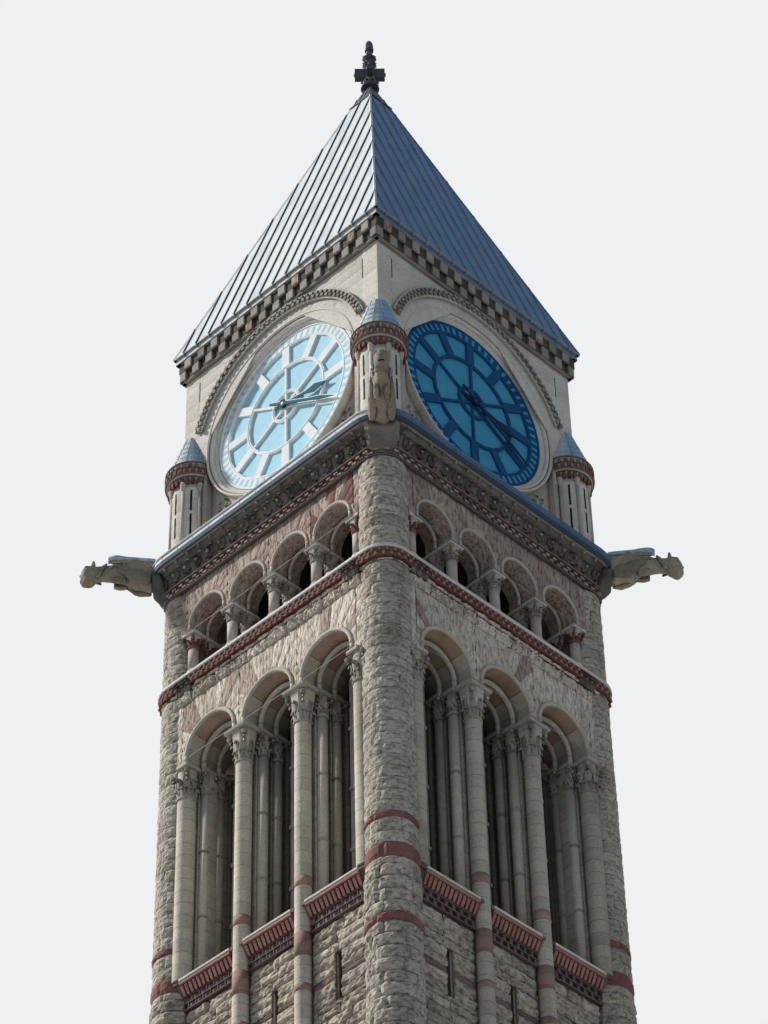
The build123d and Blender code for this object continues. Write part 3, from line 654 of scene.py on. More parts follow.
# Each metal is given a lit colour and then a shaded colour: painted light and shade, with the sky's blue reflection
# painted into the shaded roof, seams, ledge and lead.
roof_metal = metal("roof_metal", (0.58, 0.61, 0.63), (0.055, 0.16, 0.34), roughness=0.6)
seam_metal = metal("seam_metal", (0.3, 0.325, 0.345), (0.015, 0.045, 0.11), roughness=0.6)
ledge_metal = metal("ledge_metal", (0.66, 0.68, 0.7), (0.08, 0.16, 0.28), roughness=0.75)
ledge_shadow = metal("ledge_shadow", (0.1, 0.125, 0.16), (0.04, 0.06, 0.09), roughness=0.7)
turret_lead = metal("turret_lead", (0.5, 0.54, 0.58), (0.2, 0.33, 0.5), roughness=0.5, streak=(1, 1, 1))
fascia_metal = metal("fascia_metal", (0.36, 0.35, 0.33), (0.25, 0.24, 0.235), roughness=0.55)
dark_iron = metal("dark_iron", (0.05, 0.06, 0.075), (0.03, 0.04, 0.06), streak=(1, 1, 1))
frame_bars = metal("frame_bars", (0.5, 0.47, 0.42), (0.45, 0.43, 0.4), roughness=0.7, streak=(1, 1, 1))
tie_metal = metal("tie_metal", (0.3, 0.28, 0.26), (0.24, 0.23, 0.22), roughness=0.6, streak=(1, 1, 1))
slit_shadow = metal("slit_shadow", (0.018, 0.017, 0.017), (0.018, 0.017, 0.017), roughness=0.9)
# Each dial paint is given a colour for the sunlit front, then a shaded one for the other sides: painted light and
# shade, and for the panes a painted reflection of the sky.
dial_metal = dial_paint("dial_metal", (0.8, 0.82, 0.83), (0.018, 0.09, 0.23), 0.8)
dial_pane = dial_paint("dial_pane", (0.42, 0.68, 0.82), (0.07, 0.33, 0.55), 0.7)
hand_paint = dial_paint("hand_paint", (0.02, 0.1, 0.13), (0.01, 0.03, 0.1), 0.7)
# Pale on the front's hands only: a painted highlight on their sunlit edges.
hand_edge_highlight = dial_paint("hand_edge_highlight", (0.8, 0.83, 0.83), (0.03, 0.09, 0.24), 0.65)


# Masonry of the lower walls and of the round corner shafts

SLIT_HALF = 12.0
SLIT_GAP = 10.5
SLIT_BOTTOMS = tuple(5465.0 - 1300.0 * row for row in range(4))
SLIT_HEIGHT = 165.0
RED_BANDS = ((5592.0, 5622.0), (5814.0, 5864.0), (5952.0, 5976.0))
RED_COURSE = (5540.0, 5560.0)
SHAFT_SWELLS_AT = 5788.0
FINE_WORK_FROM = 5000.0
SHAFT_STONES = 3
SHAFT_SWEEP = radians(232)


def chord(radius, reach):
    """Half the width of a round shaft where a plane cuts it at a distance from its axis."""
    return sqrt(max(0.0, radius * radius - reach * reach))


def between(breaks, bottom, top, heights):
    """Bed joints from bottom to top, with one at each break."""
    found = [bottom]
    for stop in sorted(b for b in breaks if bottom < b < top) + [top]:
        found += beds(found[-1], stop, heights)[1:]
    return found


def clear_of_slits(place, centres, bottoms, height, half):
    """The same wall with upright slits, which push the stones' edges aside."""

    def placed(u, v, out):
        for centre in centres:
            for bottom in bottoms:
                if bottom < v < bottom + height and abs(u - centre) < half:
                    u = centre + copysign(half, u - centre)
        return place(u, v, out)

    return placed


wall_breaks = [*SLIT_BOTTOMS, *(bottom + SLIT_HEIGHT for bottom in SLIT_BOTTOMS), *RED_COURSE]
shaft_breaks = [level for band in RED_BANDS for level in band] + [SHAFT_SWELLS_AT]
wall_beds = between(wall_breaks, 0.0, SILL_BOTTOM, WALL_COURSES)
wall_end = SHAFT_AXIS - chord(SHAFT_RADIUS, WALL_FACE - SHAFT_AXIS)
column_chord = chord(COLUMN_RADIUS, COLUMN_AXIS - WALL_FACE - 4)


def lower_wall(side, turn):
    """Rock-faced courses between the shafts and columns, round the slits."""
    mesh = Mesh()
    place = clear_of_slits(on_side(turn, WALL_FACE), BAYS, SLIT_BOTTOMS, SLIT_HEIGHT, SLIT_HALF + JOINT)
    stretches = (
        (-wall_end, -BAY / 2 - column_chord),
        (-BAY / 2 + column_chord, BAY / 2 - column_chord),
        (BAY / 2 + column_chord, wall_end),
    )
    for bottom, top in pairs(wall_beds):
        slit_here = any(low <= bottom < low + SLIT_HEIGHT for low in SLIT_BOTTOMS)
        red = bottom == RED_COURSE[0]
        cells, rough = ((8, 4), 1.0) if bottom > FINE_WORK_FROM else ((3, 2), 0.5)
        for start, end in stretches:
            found = joints(start, end, STONE_LENGTH, BAYS if slit_here else ())
            for left, right in pairs(found):
                proud = 3.0 if red else dice.uniform(4.5, 8.5)
                block(mesh, place, (left, right), (bottom, top), proud, rough, cells, kind=1 if red else 0)
    piece(f"wall_stones_{side}", mesh, (wall_stone, sill_stone), tidy=False)
    jambs = Mesh()
    place = on_side(turn, WALL_FACE)
    for centre in BAYS:
        for bottom in SLIT_BOTTOMS:
            for way in (-1, 1):
                inner, outer = sorted((centre + way * SLIT_GAP, centre + way * (SLIT_HALF + 0.4)))
                box(jambs, place, (inner, outer), (bottom, bottom + SLIT_HEIGHT), (-9, -3), 0.8)
    piece(f"slit_jambs_{side}", jambs, (smooth_stone,))


def corner_shaft(number, corner_x, corner_y):
    """Coursed round shaft with rough drums and red bands, up to the main cornice."""
    mesh = Mesh()
    place = on_shaft(corner_x * SHAFT_AXIS, corner_y * SHAFT_AXIS, SHAFT_RADIUS)
    middle = atan2(corner_y, corner_x)
    stretches = (
        between(shaft_breaks, 0.0, STRING_BOTTOM, SHAFT_COURSES),
        between((), STRING_TOP, CORNICE_BOTTOM, SHAFT_COURSES),
    )
    for stretch in stretches:
        for bottom, top in pairs(stretch):
            red = any(low - 1 < bottom < high - 1 for low, high in RED_BANDS)
            cells, rough = ((10, 4), 0.8) if bottom > FINE_WORK_FROM else ((4, 2), 0.4)
            shift = dice.uniform(-0.3, 0.3)
            step = SHAFT_SWEEP / SHAFT_STONES
            first = middle - SHAFT_SWEEP / 2
            for k in range(SHAFT_STONES):
                start = first + (k + (shift if k else 0)) * step
                end = first + (k + 1 + (shift if k < SHAFT_STONES - 1 else 0)) * step
                proud = dice.uniform(2.4, 3.4) + 2.0 * red + 3.5 * (top <= SHAFT_SWELLS_AT)
                block(
                    mesh, place, (start, end), (bottom, top), proud, 0.4 if red else rough, cells,
                    joint=(0.2 / SHAFT_RADIUS, JOINT * 0.45), kind=1 if red else 0,
                )
    piece(f"shaft_stones_{number}", mesh, (shaft_stone, band_stone), tidy=False)


# Belfry: carved capitals, rolls round the arches, voussoirs and the frames behind

CAPITAL_BOTTOM, CAPITAL_TOP = 6524.0, 6636.0
HOOD_RADIUS = 109.0
HOOD_THICKNESS = 7.5
INNER_ROLLS = ((91.0, BELFRY_FACE - RING_DEPTH - 8, 9.0), (76.0, BELFRY_FACE - 2 * RING_DEPTH - 8, 8.0))
SLIM_SHAFTS = ((33.0, 442.0, 17.4), (47.0, 395.0, 14.4))
SHAFT_RINGS = (6085.0, 6330.0)
ROUGH_COURSE_BOTTOM = 6898.0


def capital(mesh, centre, outward, radius, half, bottom, top, tiers=2, count=8, kind=0):
    """A bell of carved leaves in tiers, with curled leaves at its four corners."""
    height = top - bottom
    lathe(mesh, centre, moulding(radius, bottom, (1, -6), (4.5, -4), (4.5, 1), (1.5, 4)), 16, kind)
    for tier in range(tiers):
        reach = radius + 1.5 + tier * (half - radius) * 0.3
        for k in range(count):
            angle = 2 * pi * (k + 0.5 * tier) / count + pi / count
            direction = heading(angle)
            root = beyond(centre, direction, reach, bottom + tier * height * 0.3)
            leaf(
                mesh, root, (0, 0, 1), direction, height * 0.5, 2 * pi * radius / count * 1.05,
                (half - radius) * 0.95, radius * 0.14, 3, kind,
            )
    for k in range(4):
        angle = pi / 4 + k * pi / 2 + outward
        direction = heading(angle)
        root = beyond(centre, direction, radius, bottom + height * 0.42)
        curl = (half - radius) * 1.7
        leaf(mesh, root, (0, 0, 1), direction, height * 0.55, radius * 0.9, curl, radius * 0.16, 2, kind)
        tip = beyond(centre, direction, radius + curl, top - height * 0.16)
        ball(mesh, tip, height * 0.075, rings=5, kind=kind)


def side_point(turn, u, reach):
    """Plan point on one side."""
    along_x, along_y = cos(radians(turn)), sin(radians(turn))
    return (along_x * u + along_y * reach, along_y * u - along_x * reach)


def belfry_carving(side, turn):
    """Capitals of the columns, responds and slim shafts of one side, with rings, bases and red drums."""
    mesh = Mesh()
    outward = radians(turn)
    for along, radius, half in ((BAY / 2, COLUMN_RADIUS, 38), (RESPOND_ALONG, 30, 40)):
        for x in (-along, along):
            centre = side_point(turn, x, COLUMN_AXIS)
            capital(mesh, centre, outward, radius, half, CAPITAL_BOTTOM, CAPITAL_TOP)
    shafts = Mesh()
    for x in (-RESPOND_ALONG, -BAY / 2, BAY / 2, RESPOND_ALONG):
        for aside, reach, radius in SLIM_SHAFTS:
            for way in (-1, 1):
                if abs(x + way * aside) > RESPOND_ALONG:
                    continue
                centre = side_point(turn, x + way * aside, reach)
                capital(mesh, centre, outward, radius, radius + 8, CAPITAL_BOTTOM + 34, CAPITAL_TOP, 1, 6)
                base = moulding(radius, SILL_TOP, (8, 0), (8, 16), (4, 26), (6, 34), (1, 42))
                lathe(mesh, centre, base, 14)
                for level in SHAFT_RINGS:
                    lathe(mesh, centre, moulding(radius, level, (1, -5), (3, 0), (1, 5)), 14)
                lathe(shafts, centre, [(radius, SILL_TOP + 30), (radius, CAPITAL_BOTTOM + 40)], 24)
    piece(f"belfry_carving_{side}", mesh, (capital_stone,))
    piece(f"slim_shafts_{side}", shafts, (slim_stone,), smooth=True)
    drums = Mesh()
    for x in (-BAY / 2, BAY / 2):
        for bottom, top in ((RED_COURSE[0], RED_COURSE[1] + 4), (5660.0, 5742.0), (5905.0, 5940.0)):
            radius = COLUMN_RADIUS + 0.6
            lathe(drums, side_point(turn, x, COLUMN_AXIS), [(radius, bottom), (radius, top)], 32)
    piece(f"column_drums_{side}", drums, (drum_stone,), smooth=True)
    slabs = Mesh()
    place = on_side(turn, 0.0)
    height = (CAPITAL_TOP + 1, ABACUS_TOP + 0.5)
    for x in (-BAY / 2, BAY / 2):
        box(slabs, place, (x - 46, x + 46), height, (COLUMN_AXIS - 24, COLUMN_AXIS + 46), 2.0)
    for way in (-1, 1):
        box(slabs, place, sorted((way * 352, way * 400)), height, (COLUMN_AXIS - 24, COLUMN_AXIS + 38), 2.0)
    piece(f"belfry_abaci_{side}", slabs, (buff_stone,))


def arch_rolls(turn, centres, spring, foot_level, rolls, steps):
    """Roll mouldings of (radius, reach, thickness) round a side's arches, carried down to the abaci."""
    mesh = Mesh()
    place = on_side(turn, 0.0)
    for centre in centres:
        for radius, reach, thickness in rolls:
            roll(mesh, place, centre, spring, radius, reach, thickness, steps=steps)
            for way in (-1, 1):
                foot = side_point(turn, centre + way * radius, reach)
                lathe(mesh, foot, [(thickness, foot_level), (thickness, spring)], 8)
    return mesh


def belfry_rolls(side, turn):
    """Roll mouldings on the edges of the belfry's arches."""
    rolls = ((HOOD_RADIUS, BELFRY_FACE, HOOD_THICKNESS), *INNER_ROLLS)
    mesh = arch_rolls(turn, BAYS, ARCH_SPRING, ABACUS_TOP, rolls, 32)
    piece(f"belfry_rolls_{side}", mesh, (slim_stone,), smooth=True)


def voussoirs(mesh, place, centre, spring, inner, outer, count, side, top, proud, rough, kinds=(0,)):
    """Radiating stones over one arch, kept within its bay and under a course."""
    ring = polar(place, centre, spring, side, top)
    start, end = -pi / 2, pi / 2
    edges = [start + (end - start) * k / count for k in range(count + 1)]
    for k, (left, right) in enumerate(pairs(edges)):
        gap = 0.9 / inner
        block(
            mesh, ring, (left, right), (inner, outer), dice.uniform(0.8, 1.2) * proud, rough, (4, 10),
            joint=(gap, JOINT / 2), kind=dice.choice(kinds),
        )


def side_stones(mesh, place, centre, hood, half_bay, bottom, top, kind=0):
    """The flat stones on both sides of an arch's stilts."""
    for way in (-1, 1):
        along = sorted((centre + way * hood, centre + way * half_bay))
        block(mesh, place, along, (bottom, top), 1.5, 0.3, (2, 2), kind=kind)


def end_stones(mesh, place, reach, width, beds_here):
    """The narrow stones between the last arches and the corner shafts."""
    for way in (-1, 1):
        for bottom, top in beds_here:
            block(mesh, place, sorted((way * reach, way * (reach + width))), (bottom, top), 2.2, 0.5, (3, 3))


def belfry_stones(side, turn):
    """Rough voussoirs that fill the wall round the belfry's arches, and the rocky course over them."""
    mesh = Mesh()
    place = on_side(turn, BELFRY_FACE)
    for centre in BAYS:
        voussoirs(
            mesh, place, centre, ARCH_SPRING, HOOD_RADIUS + HOOD_THICKNESS, 262.0, 13, BAY / 2 - 0.2,
            ROUGH_COURSE_BOTTOM - JOINT, 2.0, 0.3, (0, 0, 0, 0, 0, 0, 1),
        )
        side_stones(mesh, place, centre, HOOD_RADIUS + HOOD_THICKNESS, BAY / 2, ABACUS_TOP, ARCH_SPRING)
    found = joints(-RESPOND_ALONG - 25, RESPOND_ALONG + 25, 84)
    for stretch in pairs(found):
        height = (ROUGH_COURSE_BOTTOM, STRING_BOTTOM)
        block(mesh, place, stretch, height, dice.uniform(8.0, 12.0), 0.9, (12, 6))
    end_stones(mesh, place, RESPOND_ALONG, 25, [(bottom, bottom + 31) for bottom in range(6650, 6898, 31)])
    piece(f"belfry_stones_{side}", mesh, (rough_stone, pink_stone), tidy=False)


def belfry_frames(side, turn):
    """Posts and transoms in the openings' backs, and the tie rods across the bays."""
    mesh = Mesh()
    place = on_side(turn, 0.0)
    for centre in BAYS:
        for x in (centre - 70, centre + 56, centre - 7):
            box(mesh, place, (x, x + 14), (SILL_TOP, 6744.0), (337, 352), 1.5)
        for level in (5845.0, 6080.0, 6310.0, 6540.0):
            box(mesh, place, (centre - 70, centre + 70), (level, level + 13), (336, 358), 1.0)
        roll(mesh, place, centre, ARCH_SPRING, 67, 343, 5, steps=20, sides=6)
    piece(f"belfry_frames_{side}", mesh, (frame_bars,))
    rods = Mesh()
    for level, reach in ((ABACUS_TOP - 7, BELFRY_FACE + 24), (ARCADE_ABACUS_TOP - 3, BELFRY_FACE + 5)):
        box(rods, place, (-1.5 * BAY, 1.5 * BAY), (level - 0.8, level + 0.8), (reach - 0.8, reach + 0.8), 0.2)
    piece(f"tie_rods_{side}", rods, (tie_metal,))


# Arcade: capitals and bases of the colonnettes, voussoirs and hoods

ARCADE_COLUMNS = (-376.0, -192.0, 0.0, 192.0, 376.0)
ARCADE_ROWS = (490.0, 427.0)
ARCADE_HOOD_RADIUS = 80.0
ARCADE_ROLLS = ((ARCADE_HOOD_RADIUS, BELFRY_FACE, 6.0), (64.0, BELFRY_FACE - 62, 6.0))
ARCADE_CAPITAL_BOTTOM, ARCADE_CAPITAL_TOP = 7143.0, 7191.0
COLONNETTE_RADIUS = 16.8


def arcade_carving(side, turn):
    """Leaf capitals, slabs and turned bases of the colonnettes of one side, in red beside the shafts."""
    mesh = Mesh()
    shafts = Mesh()
    slabs = Mesh()
    place = on_side(turn, 0.0)
    for reach in ARCADE_ROWS:
        for x in ARCADE_COLUMNS:
            centre = side_point(turn, x, reach)
            kind = 1 if abs(x) > 300 else 0
            bell = (COLONNETTE_RADIUS, 26, ARCADE_CAPITAL_BOTTOM, ARCADE_CAPITAL_TOP)
            capital(mesh, centre, radians(turn), *bell, 2, 7, kind)
            radius = COLONNETTE_RADIUS + 0.5
            lathe(shafts, centre, [(radius, STRING_TOP + 36), (radius, ARCADE_CAPITAL_BOTTOM + 3)], 24)
            base = moulding(0, STRING_TOP, (25, 2), (25.5, 24), (22, 29), (19, 31), (20.5, 36), (17.5, 41))
            lathe(slabs, centre, base, 20)
            height = (ARCADE_CAPITAL_TOP - 0.5, ARCADE_ABACUS_TOP + 0.5)
            box(slabs, place, (x - 29, x + 29), height, (reach - 29, reach + 29), 1.5)
    piece(f"arcade_carving_{side}", mesh, (capital_stone, red_stone))
    piece(f"arcade_shafts_{side}", shafts, (buff_stone,), smooth=True)
    piece(f"arcade_slabs_{side}", slabs, (pale_top_stone,))


def arcade_stones(side, turn):
    """Rough voussoirs that fill the wall over the gallery's arches, and the hoods."""
    mesh = Mesh()
    place = on_side(turn, BELFRY_FACE)
    for centre in ARCADE_BAYS:
        kinds = (1, 1, 0) if centre > ARCADE_BAY and turn % 180 == 0 else (0,)
        voussoirs(
            mesh, place, centre, ARCADE_SPRING, ARCADE_HOOD_RADIUS + 6, 190.0, 11, ARCADE_BAY / 2 - 0.2,
            CORNICE_BOTTOM - JOINT, 2.0, 0.3, kinds,
        )
        hood = ARCADE_HOOD_RADIUS + 6
        side_stones(mesh, place, centre, hood, ARCADE_BAY / 2, ARCADE_ABACUS_TOP, ARCADE_SPRING, kinds[0])
    courses = [(bottom, min(bottom + 38, CORNICE_BOTTOM)) for bottom in range(7200, 7380, 38)]
    end_stones(mesh, place, 2 * ARCADE_BAY, 30, courses)
    piece(f"arcade_stones_{side}", mesh, (pink_stone, red_stone), tidy=False)
    hoods = arch_rolls(turn, ARCADE_BAYS, ARCADE_SPRING, ARCADE_ABACUS_TOP, ARCADE_ROLLS, 26)
    piece(f"arcade_rolls_{side}", hoods, (buff_stone,), smooth=True)


# Courses that run right round the tower

def course(mesh, radius, profile, kind=0, arc_steps=8):
    """Sweep a closed profile of (out, level) round the tower and its corner shafts."""
    place = around(radius)
    straight, arc = 2 * SHAFT_AXIS, radius * pi / 2
    stations = []
    for quarter in range(4):
        start = quarter * (straight + arc)
        stations.append(start)
        stations += [start + straight + arc * k / arc_steps for k in range(arc_steps)]
    points = [place(u, level, out) for u in stations for out, level in profile]
    mesh.add(points, ring_faces(len(stations), len(profile)), kind)


def repeated(radius, spacing):
    """Even places along such a course, about one spacing apart."""
    whole = length_around(radius)
    count = round(whole / spacing)
    return [whole * k / count for k in range(count)], whole / count


def prism(mesh, place, foot, head, kind=0):
    """A bar between two levels, each given as (level, half width, inner reach, outer reach, middle)."""
    points = []
    for level, half, inner, outer, middle in (foot, head):
        points += [place(u, level, out) for u, out in (
            (middle - half, inner), (middle + half, inner), (middle + half, outer), (middle - half, outer)
        )]
    bar(mesh, points, kind)


def string_carving():
    """Two rows of beads between a rocky foot and a pale top, partly painted sunlight, with leaves at the shafts."""
    radius = STRING_OUT
    place = around(radius)
    mesh = Mesh()
    # The beads are in a paler stone than their band: partly painted highlights on them.
    for row, level in enumerate((STRING_BOTTOM + 22, STRING_BOTTOM + 38)):
        along, step = repeated(radius, 24.0)
        for u in along:
            ball(mesh, place(u + row * step / 2, level, 0.5), 5.8, sides=7, kind=1)
    course(mesh, radius, moulding(0, STRING_BOTTOM, (-2, 28), (2.5, 28), (2.5, 32), (-2, 32)))
    piece("string_beads", mesh, (red_stone, bead_stone))
    top = Mesh()
    course(top, radius, moulding(0, STRING_TOP, (-22, -22), (4, -22), (6.5, -19), (5, -9), (-22, 3)))
    piece("string_pale_top", top, (pale_top_stone,))
    foot = Mesh()
    place = around(radius - 14)
    along, step = repeated(radius - 14, 58.0)
    for u in along:
        height = (STRING_BOTTOM, STRING_BOTTOM + 14)
        block(foot, place, (u, u + step), height, dice.uniform(5, 9), 0.7, (5, 2))
    piece("string_foot", foot, (rough_stone,), tidy=False)
    stops = Mesh()
    for turn in SIDES.values():
        outward = (*side_point(turn, 0, 1), 0)
        for way in (-1, 1):
            for k in range(5):
                root = (*side_point(turn, way * (352 + 13 * k), BELFRY_FACE + 14), STRING_BOTTOM - 8)
                leaf(stops, root, (0, 0, 1), outward, 56, 22, 22, 4)
                leaf(stops, (root[0], root[1], root[2] + 22), (0, 0, 1), outward, 40, 20, 18, 4)
    piece("string_stops", stops, (carved_stone,))


def sill_carving():
    """Two rows of small holes, made as dark plates of painted shade, under leaning flutes and the belfry's lip."""
    mesh = Mesh()
    holes = Mesh()
    flutes = Mesh()
    lip = Mesh()
    for turn in SIDES.values():
        place = on_side(turn, 0.0)
        for start, end in ((-376, -157), (-101, 101), (157, 376)):
            count = round((end - start) / 17)
            for k in range(count):
                u = start + (end - start) * (k + 0.5) / count
                foot, head = (SILL_BOTTOM + 49, 4.6, 484, 494, u), (SILL_BOTTOM + 76, 5.8, 497, 508, u)
                prism(flutes, place, foot, head)
                ball(flutes, (*side_point(turn, u, 503.0), SILL_BOTTOM + 76), 6.2, rings=5)
            count = round((end - start) / 31)
            for row, level in enumerate((SILL_BOTTOM + 4, SILL_BOTTOM + 26)):
                for k in range(count):
                    u = start + (end - start) * (k + 0.3 + 0.45 * row) / count
                    # A dark plate between ribs: painted shade in place of a deep hole.
                    box(holes, place, (u - 7.5, u + 7.5), (level + 1, level + 17), (483, 486.7), 0.3)
                    box(mesh, place, (u + 9, u + 12.5), (level, level + 18), (484, 489), 0.8)
            for level in (SILL_BOTTOM, SILL_BOTTOM + 22, SILL_BOTTOM + 45):
                box(mesh, place, (start, end), (level, level + 3.5), (484, 490), 0.8)
            box(flutes, place, (start, end), (SILL_TOP - 19, SILL_TOP - 9), (496, 513.5), 2.0)
            box(lip, place, (start, end), (SILL_TOP - 8, SILL_TOP + 0.8), (500, 516), 2.0)
    piece("sill_carving", mesh, (sill_stone,))
    piece("sill_holes", holes, (slit_shadow,))
    piece("sill_flutes", flutes, (flute_stone,))
    piece("sill_lip", lip, (pale_top_stone,))


def cornice_carving():
    """Two rows of small billets, the hollow's carved leaves, and a fillet over them."""
    mesh = Mesh()
    place = around(DENTIL_OUT)
    along, step = repeated(DENTIL_OUT, 33.0)
    for u in along:
        for row, level in enumerate((CORNICE_BOTTOM + 3, CORNICE_BOTTOM + 18)):
            middle = u + row * step / 2
            kind = dice.choice((0, 1, 1, 1))
            box(mesh, place, (middle - 9, middle + 9), (level, level + 8), (-2, 8), 1.5, kind)
    for fillet in (
        ((-2, -3), (4, -3), (5, 0), (4, 2), (-2, 2)),
        ((-2, 32), (10, 32), (11, 35), (9, 38), (-2, 38)),
    ):
        course(mesh, DENTIL_OUT, moulding(0, CORNICE_BOTTOM, *fillet))
    piece("cornice_billets", mesh, (sill_stone, pink_stone))
    leaves = Mesh()
    radius = 92.0
    place = around(radius)
    along, step = repeated(radius, 55.0)
    for u in along:
        for shift, length, width, level, out, curl in (
            (0.0, 74, 38, CORNICE_BOTTOM + 40, -12, 36),
            (0.5, 54, 32, CORNICE_BOTTOM + 54, -6, 26),
            (0.25, 34, 20, CORNICE_BOTTOM + 40, -12, 14),
            (0.75, 34, 20, CORNICE_BOTTOM + 40, -12, 14),
        ):
            here = u + shift * step
            root = Vector(place(here, level, out))
            outward = Vector(place(here, level, out + 10)) - root
            turned = Matrix.Rotation(dice.uniform(-0.25, 0.25), 3, outward.normalized())
            leaf(leaves, root, turned @ Vector((0, 0, 1)), outward, length, width, curl, 4.0, 3)
        # Half the balls at the leaves' tips are in the paler billet stone, in part painted highlights on the curled
        # tips.
        for shift, level, out in ((0.0, CORNICE_BOTTOM + 106, 22), (0.5, CORNICE_BOTTOM + 72, 6)):
            ball(leaves, place(u + shift * step, level, out), 5.5, sides=7, kind=dice.choice((0, 1)))
    piece("cornice_leaves", leaves, (carved_stone, billet_stone))
    lip = Mesh()
    course(lip, radius, moulding(0, CORNICE_TOP, (20, -14), (27, -14), (28, -8), (31, -4), (31, 0), (20, 0)))
    piece("cornice_fillet", lip, (billet_stone,))


def ledge_seams():
    """Folded drip edge and standing seams of the metal on the ledge."""
    mesh = Mesh()
    seams = Mesh()
    radius = LEDGE_OUT
    course(mesh, radius, moulding(0, LEDGE_BOTTOM, (-4, 23), (3, 23), (5, 27), (3, 31), (-3, 33)))
    drip = Mesh()
    course(drip, radius, moulding(0, LEDGE_BOTTOM, (-6, -12), (1, -12), (4.5, 1), (3, 4), (-6, 4)))
    piece("ledge_drip", drip, (ledge_shadow,))
    place = around(radius)
    for u in repeated(radius, 74.0)[0]:
        points = []
        for half, lift in ((1.4, 0.0), (1.4, 3.0)):
            for out, level in ((0, LEDGE_BOTTOM + 30), (-43, LEDGE_BOTTOM + 80), (-88, LEDGE_BOTTOM + 92)):
                for way in (-1, 1):
                    points.append(place(u + way * half, level + lift, out + lift * 0.5))
        seams.add(points, [
            (6, 7, 9, 8), (8, 9, 11, 10), (0, 2, 8, 6), (2, 4, 10, 8),
            (1, 7, 9, 3), (3, 9, 11, 5), (0, 6, 7, 1), (4, 5, 11, 10),
        ])
        box(seams, place, (u - 1.2, u + 1.2), (LEDGE_BOTTOM + 4, LEDGE_BOTTOM + 26), (-2, 0.9), 0.3)
    piece("ledge_folds", mesh, (ledge_metal,))
    piece("ledge_seams", seams, (ledge_metal,))


# Clock stage

HOOD_OUTER, HOOD_INNER = 430.0, 397.0
HOOD_PAIRS = 40
CLOCK_SLITS = (-402.0, 402.0)
CLOCK_SLIT_BOTTOM, CLOCK_SLIT_TOP = 8312.0, 8408.0
CLOCK_COURSES = (52.0, 48.0, 55.0)


def clock_stones(side, turn):
    """Smooth ashlar with hair joints round the dial's hood, and the flat ring of stones inside it."""
    mesh = Mesh()
    place = on_side(turn, CLOCK_FACE)
    cleared = clear_of_slits(
        clear_of_arches(place, (0.0,), DIAL_HEIGHT, HOOD_OUTER - 4), CLOCK_SLITS,
        (CLOCK_SLIT_BOTTOM,), CLOCK_SLIT_TOP - CLOCK_SLIT_BOTTOM, 2.6,
    )
    found_beds = between((CLOCK_SLIT_BOTTOM, CLOCK_SLIT_TOP), TURRET_TOP, EAVES_BOTTOM, CLOCK_COURSES)
    for bottom, top in pairs(found_beds):
        found = joints(-CLOCK_FACE - 0.8, CLOCK_FACE + 0.8, 150, (0.0,) + CLOCK_SLITS)
        for left, right in pairs(found):
            block(mesh, cleared, (left, right), (bottom, top), 0.9, 0.1, (12, 4), joint=(0.3, 0.3))
    ring = polar(place, 0.0, DIAL_HEIGHT, CLOCK_FACE)
    count = 25
    for k in range(count):
        start = -pi * 0.5 + pi * k / count
        block(
            mesh, ring, (start, start + pi / count), (RECESS_RADIUS + 8, HOOD_INNER - 2), 1.4, 0.1, (3, 2),
            joint=(0.001, 0.3),
        )
    for way in (-1, 1):
        inner, outer = sorted((way * (RECESS_RADIUS + 8), way * (HOOD_INNER - 2)))
        for bottom, top in ((7870.0, 7945.0), (7945.0, DIAL_HEIGHT)):
            if abs(outer) < SHAFT_AXIS and bottom > LEDGE_TOP:
                block(mesh, place, (inner, outer), (bottom, top), 1.4, 0.1, (2, 2), joint=(0.3, 0.3))
    piece(f"clock_stones_{side}", mesh, (pale_stone,), tidy=False)


def dial_surround(side, turn):
    """The billeted hood, and the rolls and hollows that step back to the dial."""
    mesh = Mesh()
    place = on_side(turn, 0.0)
    reach = CLOCK_FACE + 11.3
    foot = atan2(HOOD_OUTER, 8160.0 - DIAL_HEIGHT)
    billet_rows = ((HOOD_INNER + 4, HOOD_INNER + 15), (HOOD_INNER + 17, HOOD_OUTER - 4))
    for k in range(HOOD_PAIRS):
        for row, (inner, outer) in enumerate(billet_rows):
            angle = -foot + 2 * foot * (k + 0.25 + 0.5 * row) / HOOD_PAIRS
            half = foot / HOOD_PAIRS * 0.5
            points = []
            for out in (reach - 3, reach + 8):
                for a, r in ((-half, inner), (half, inner), (half, outer), (-half, outer)):
                    points.append(place(r * sin(angle + a), DIAL_HEIGHT + r * cos(angle + a), out))
            bar(mesh, points, 1)
    roll(mesh, place, 0, DIAL_HEIGHT, HOOD_OUTER - 2, reach, 3.6, -foot, foot, 60, 6)
    roll(mesh, place, 0, DIAL_HEIGHT, HOOD_INNER + 1, reach - 2, 3.0, -foot, foot, 60, 6)
    piece(f"dial_hood_billets_{side}", mesh, (pale_stone, billet_stone))
    profile = moulding(
        RECESS_RADIUS, CLOCK_FACE, (6, -4), (5, 2.5), (0, 3.5), (-3, -2), (-3, -8), (-8, -4), (-13, -5),
        (-17, -9), (-18, -16), (-24, -18), (-31, -25), (-31, -30), (6, -30),
    )
    steps = Mesh()
    stations = 96
    points = []
    for station in range(stations):
        angle = 2 * pi * station / stations
        points += [place(r * sin(angle), DIAL_HEIGHT + r * cos(angle), out) for r, out in profile]
    steps.add(points, ring_faces(stations, len(profile)))
    piece(f"dial_reveal_{side}", steps, (pale_stone,))


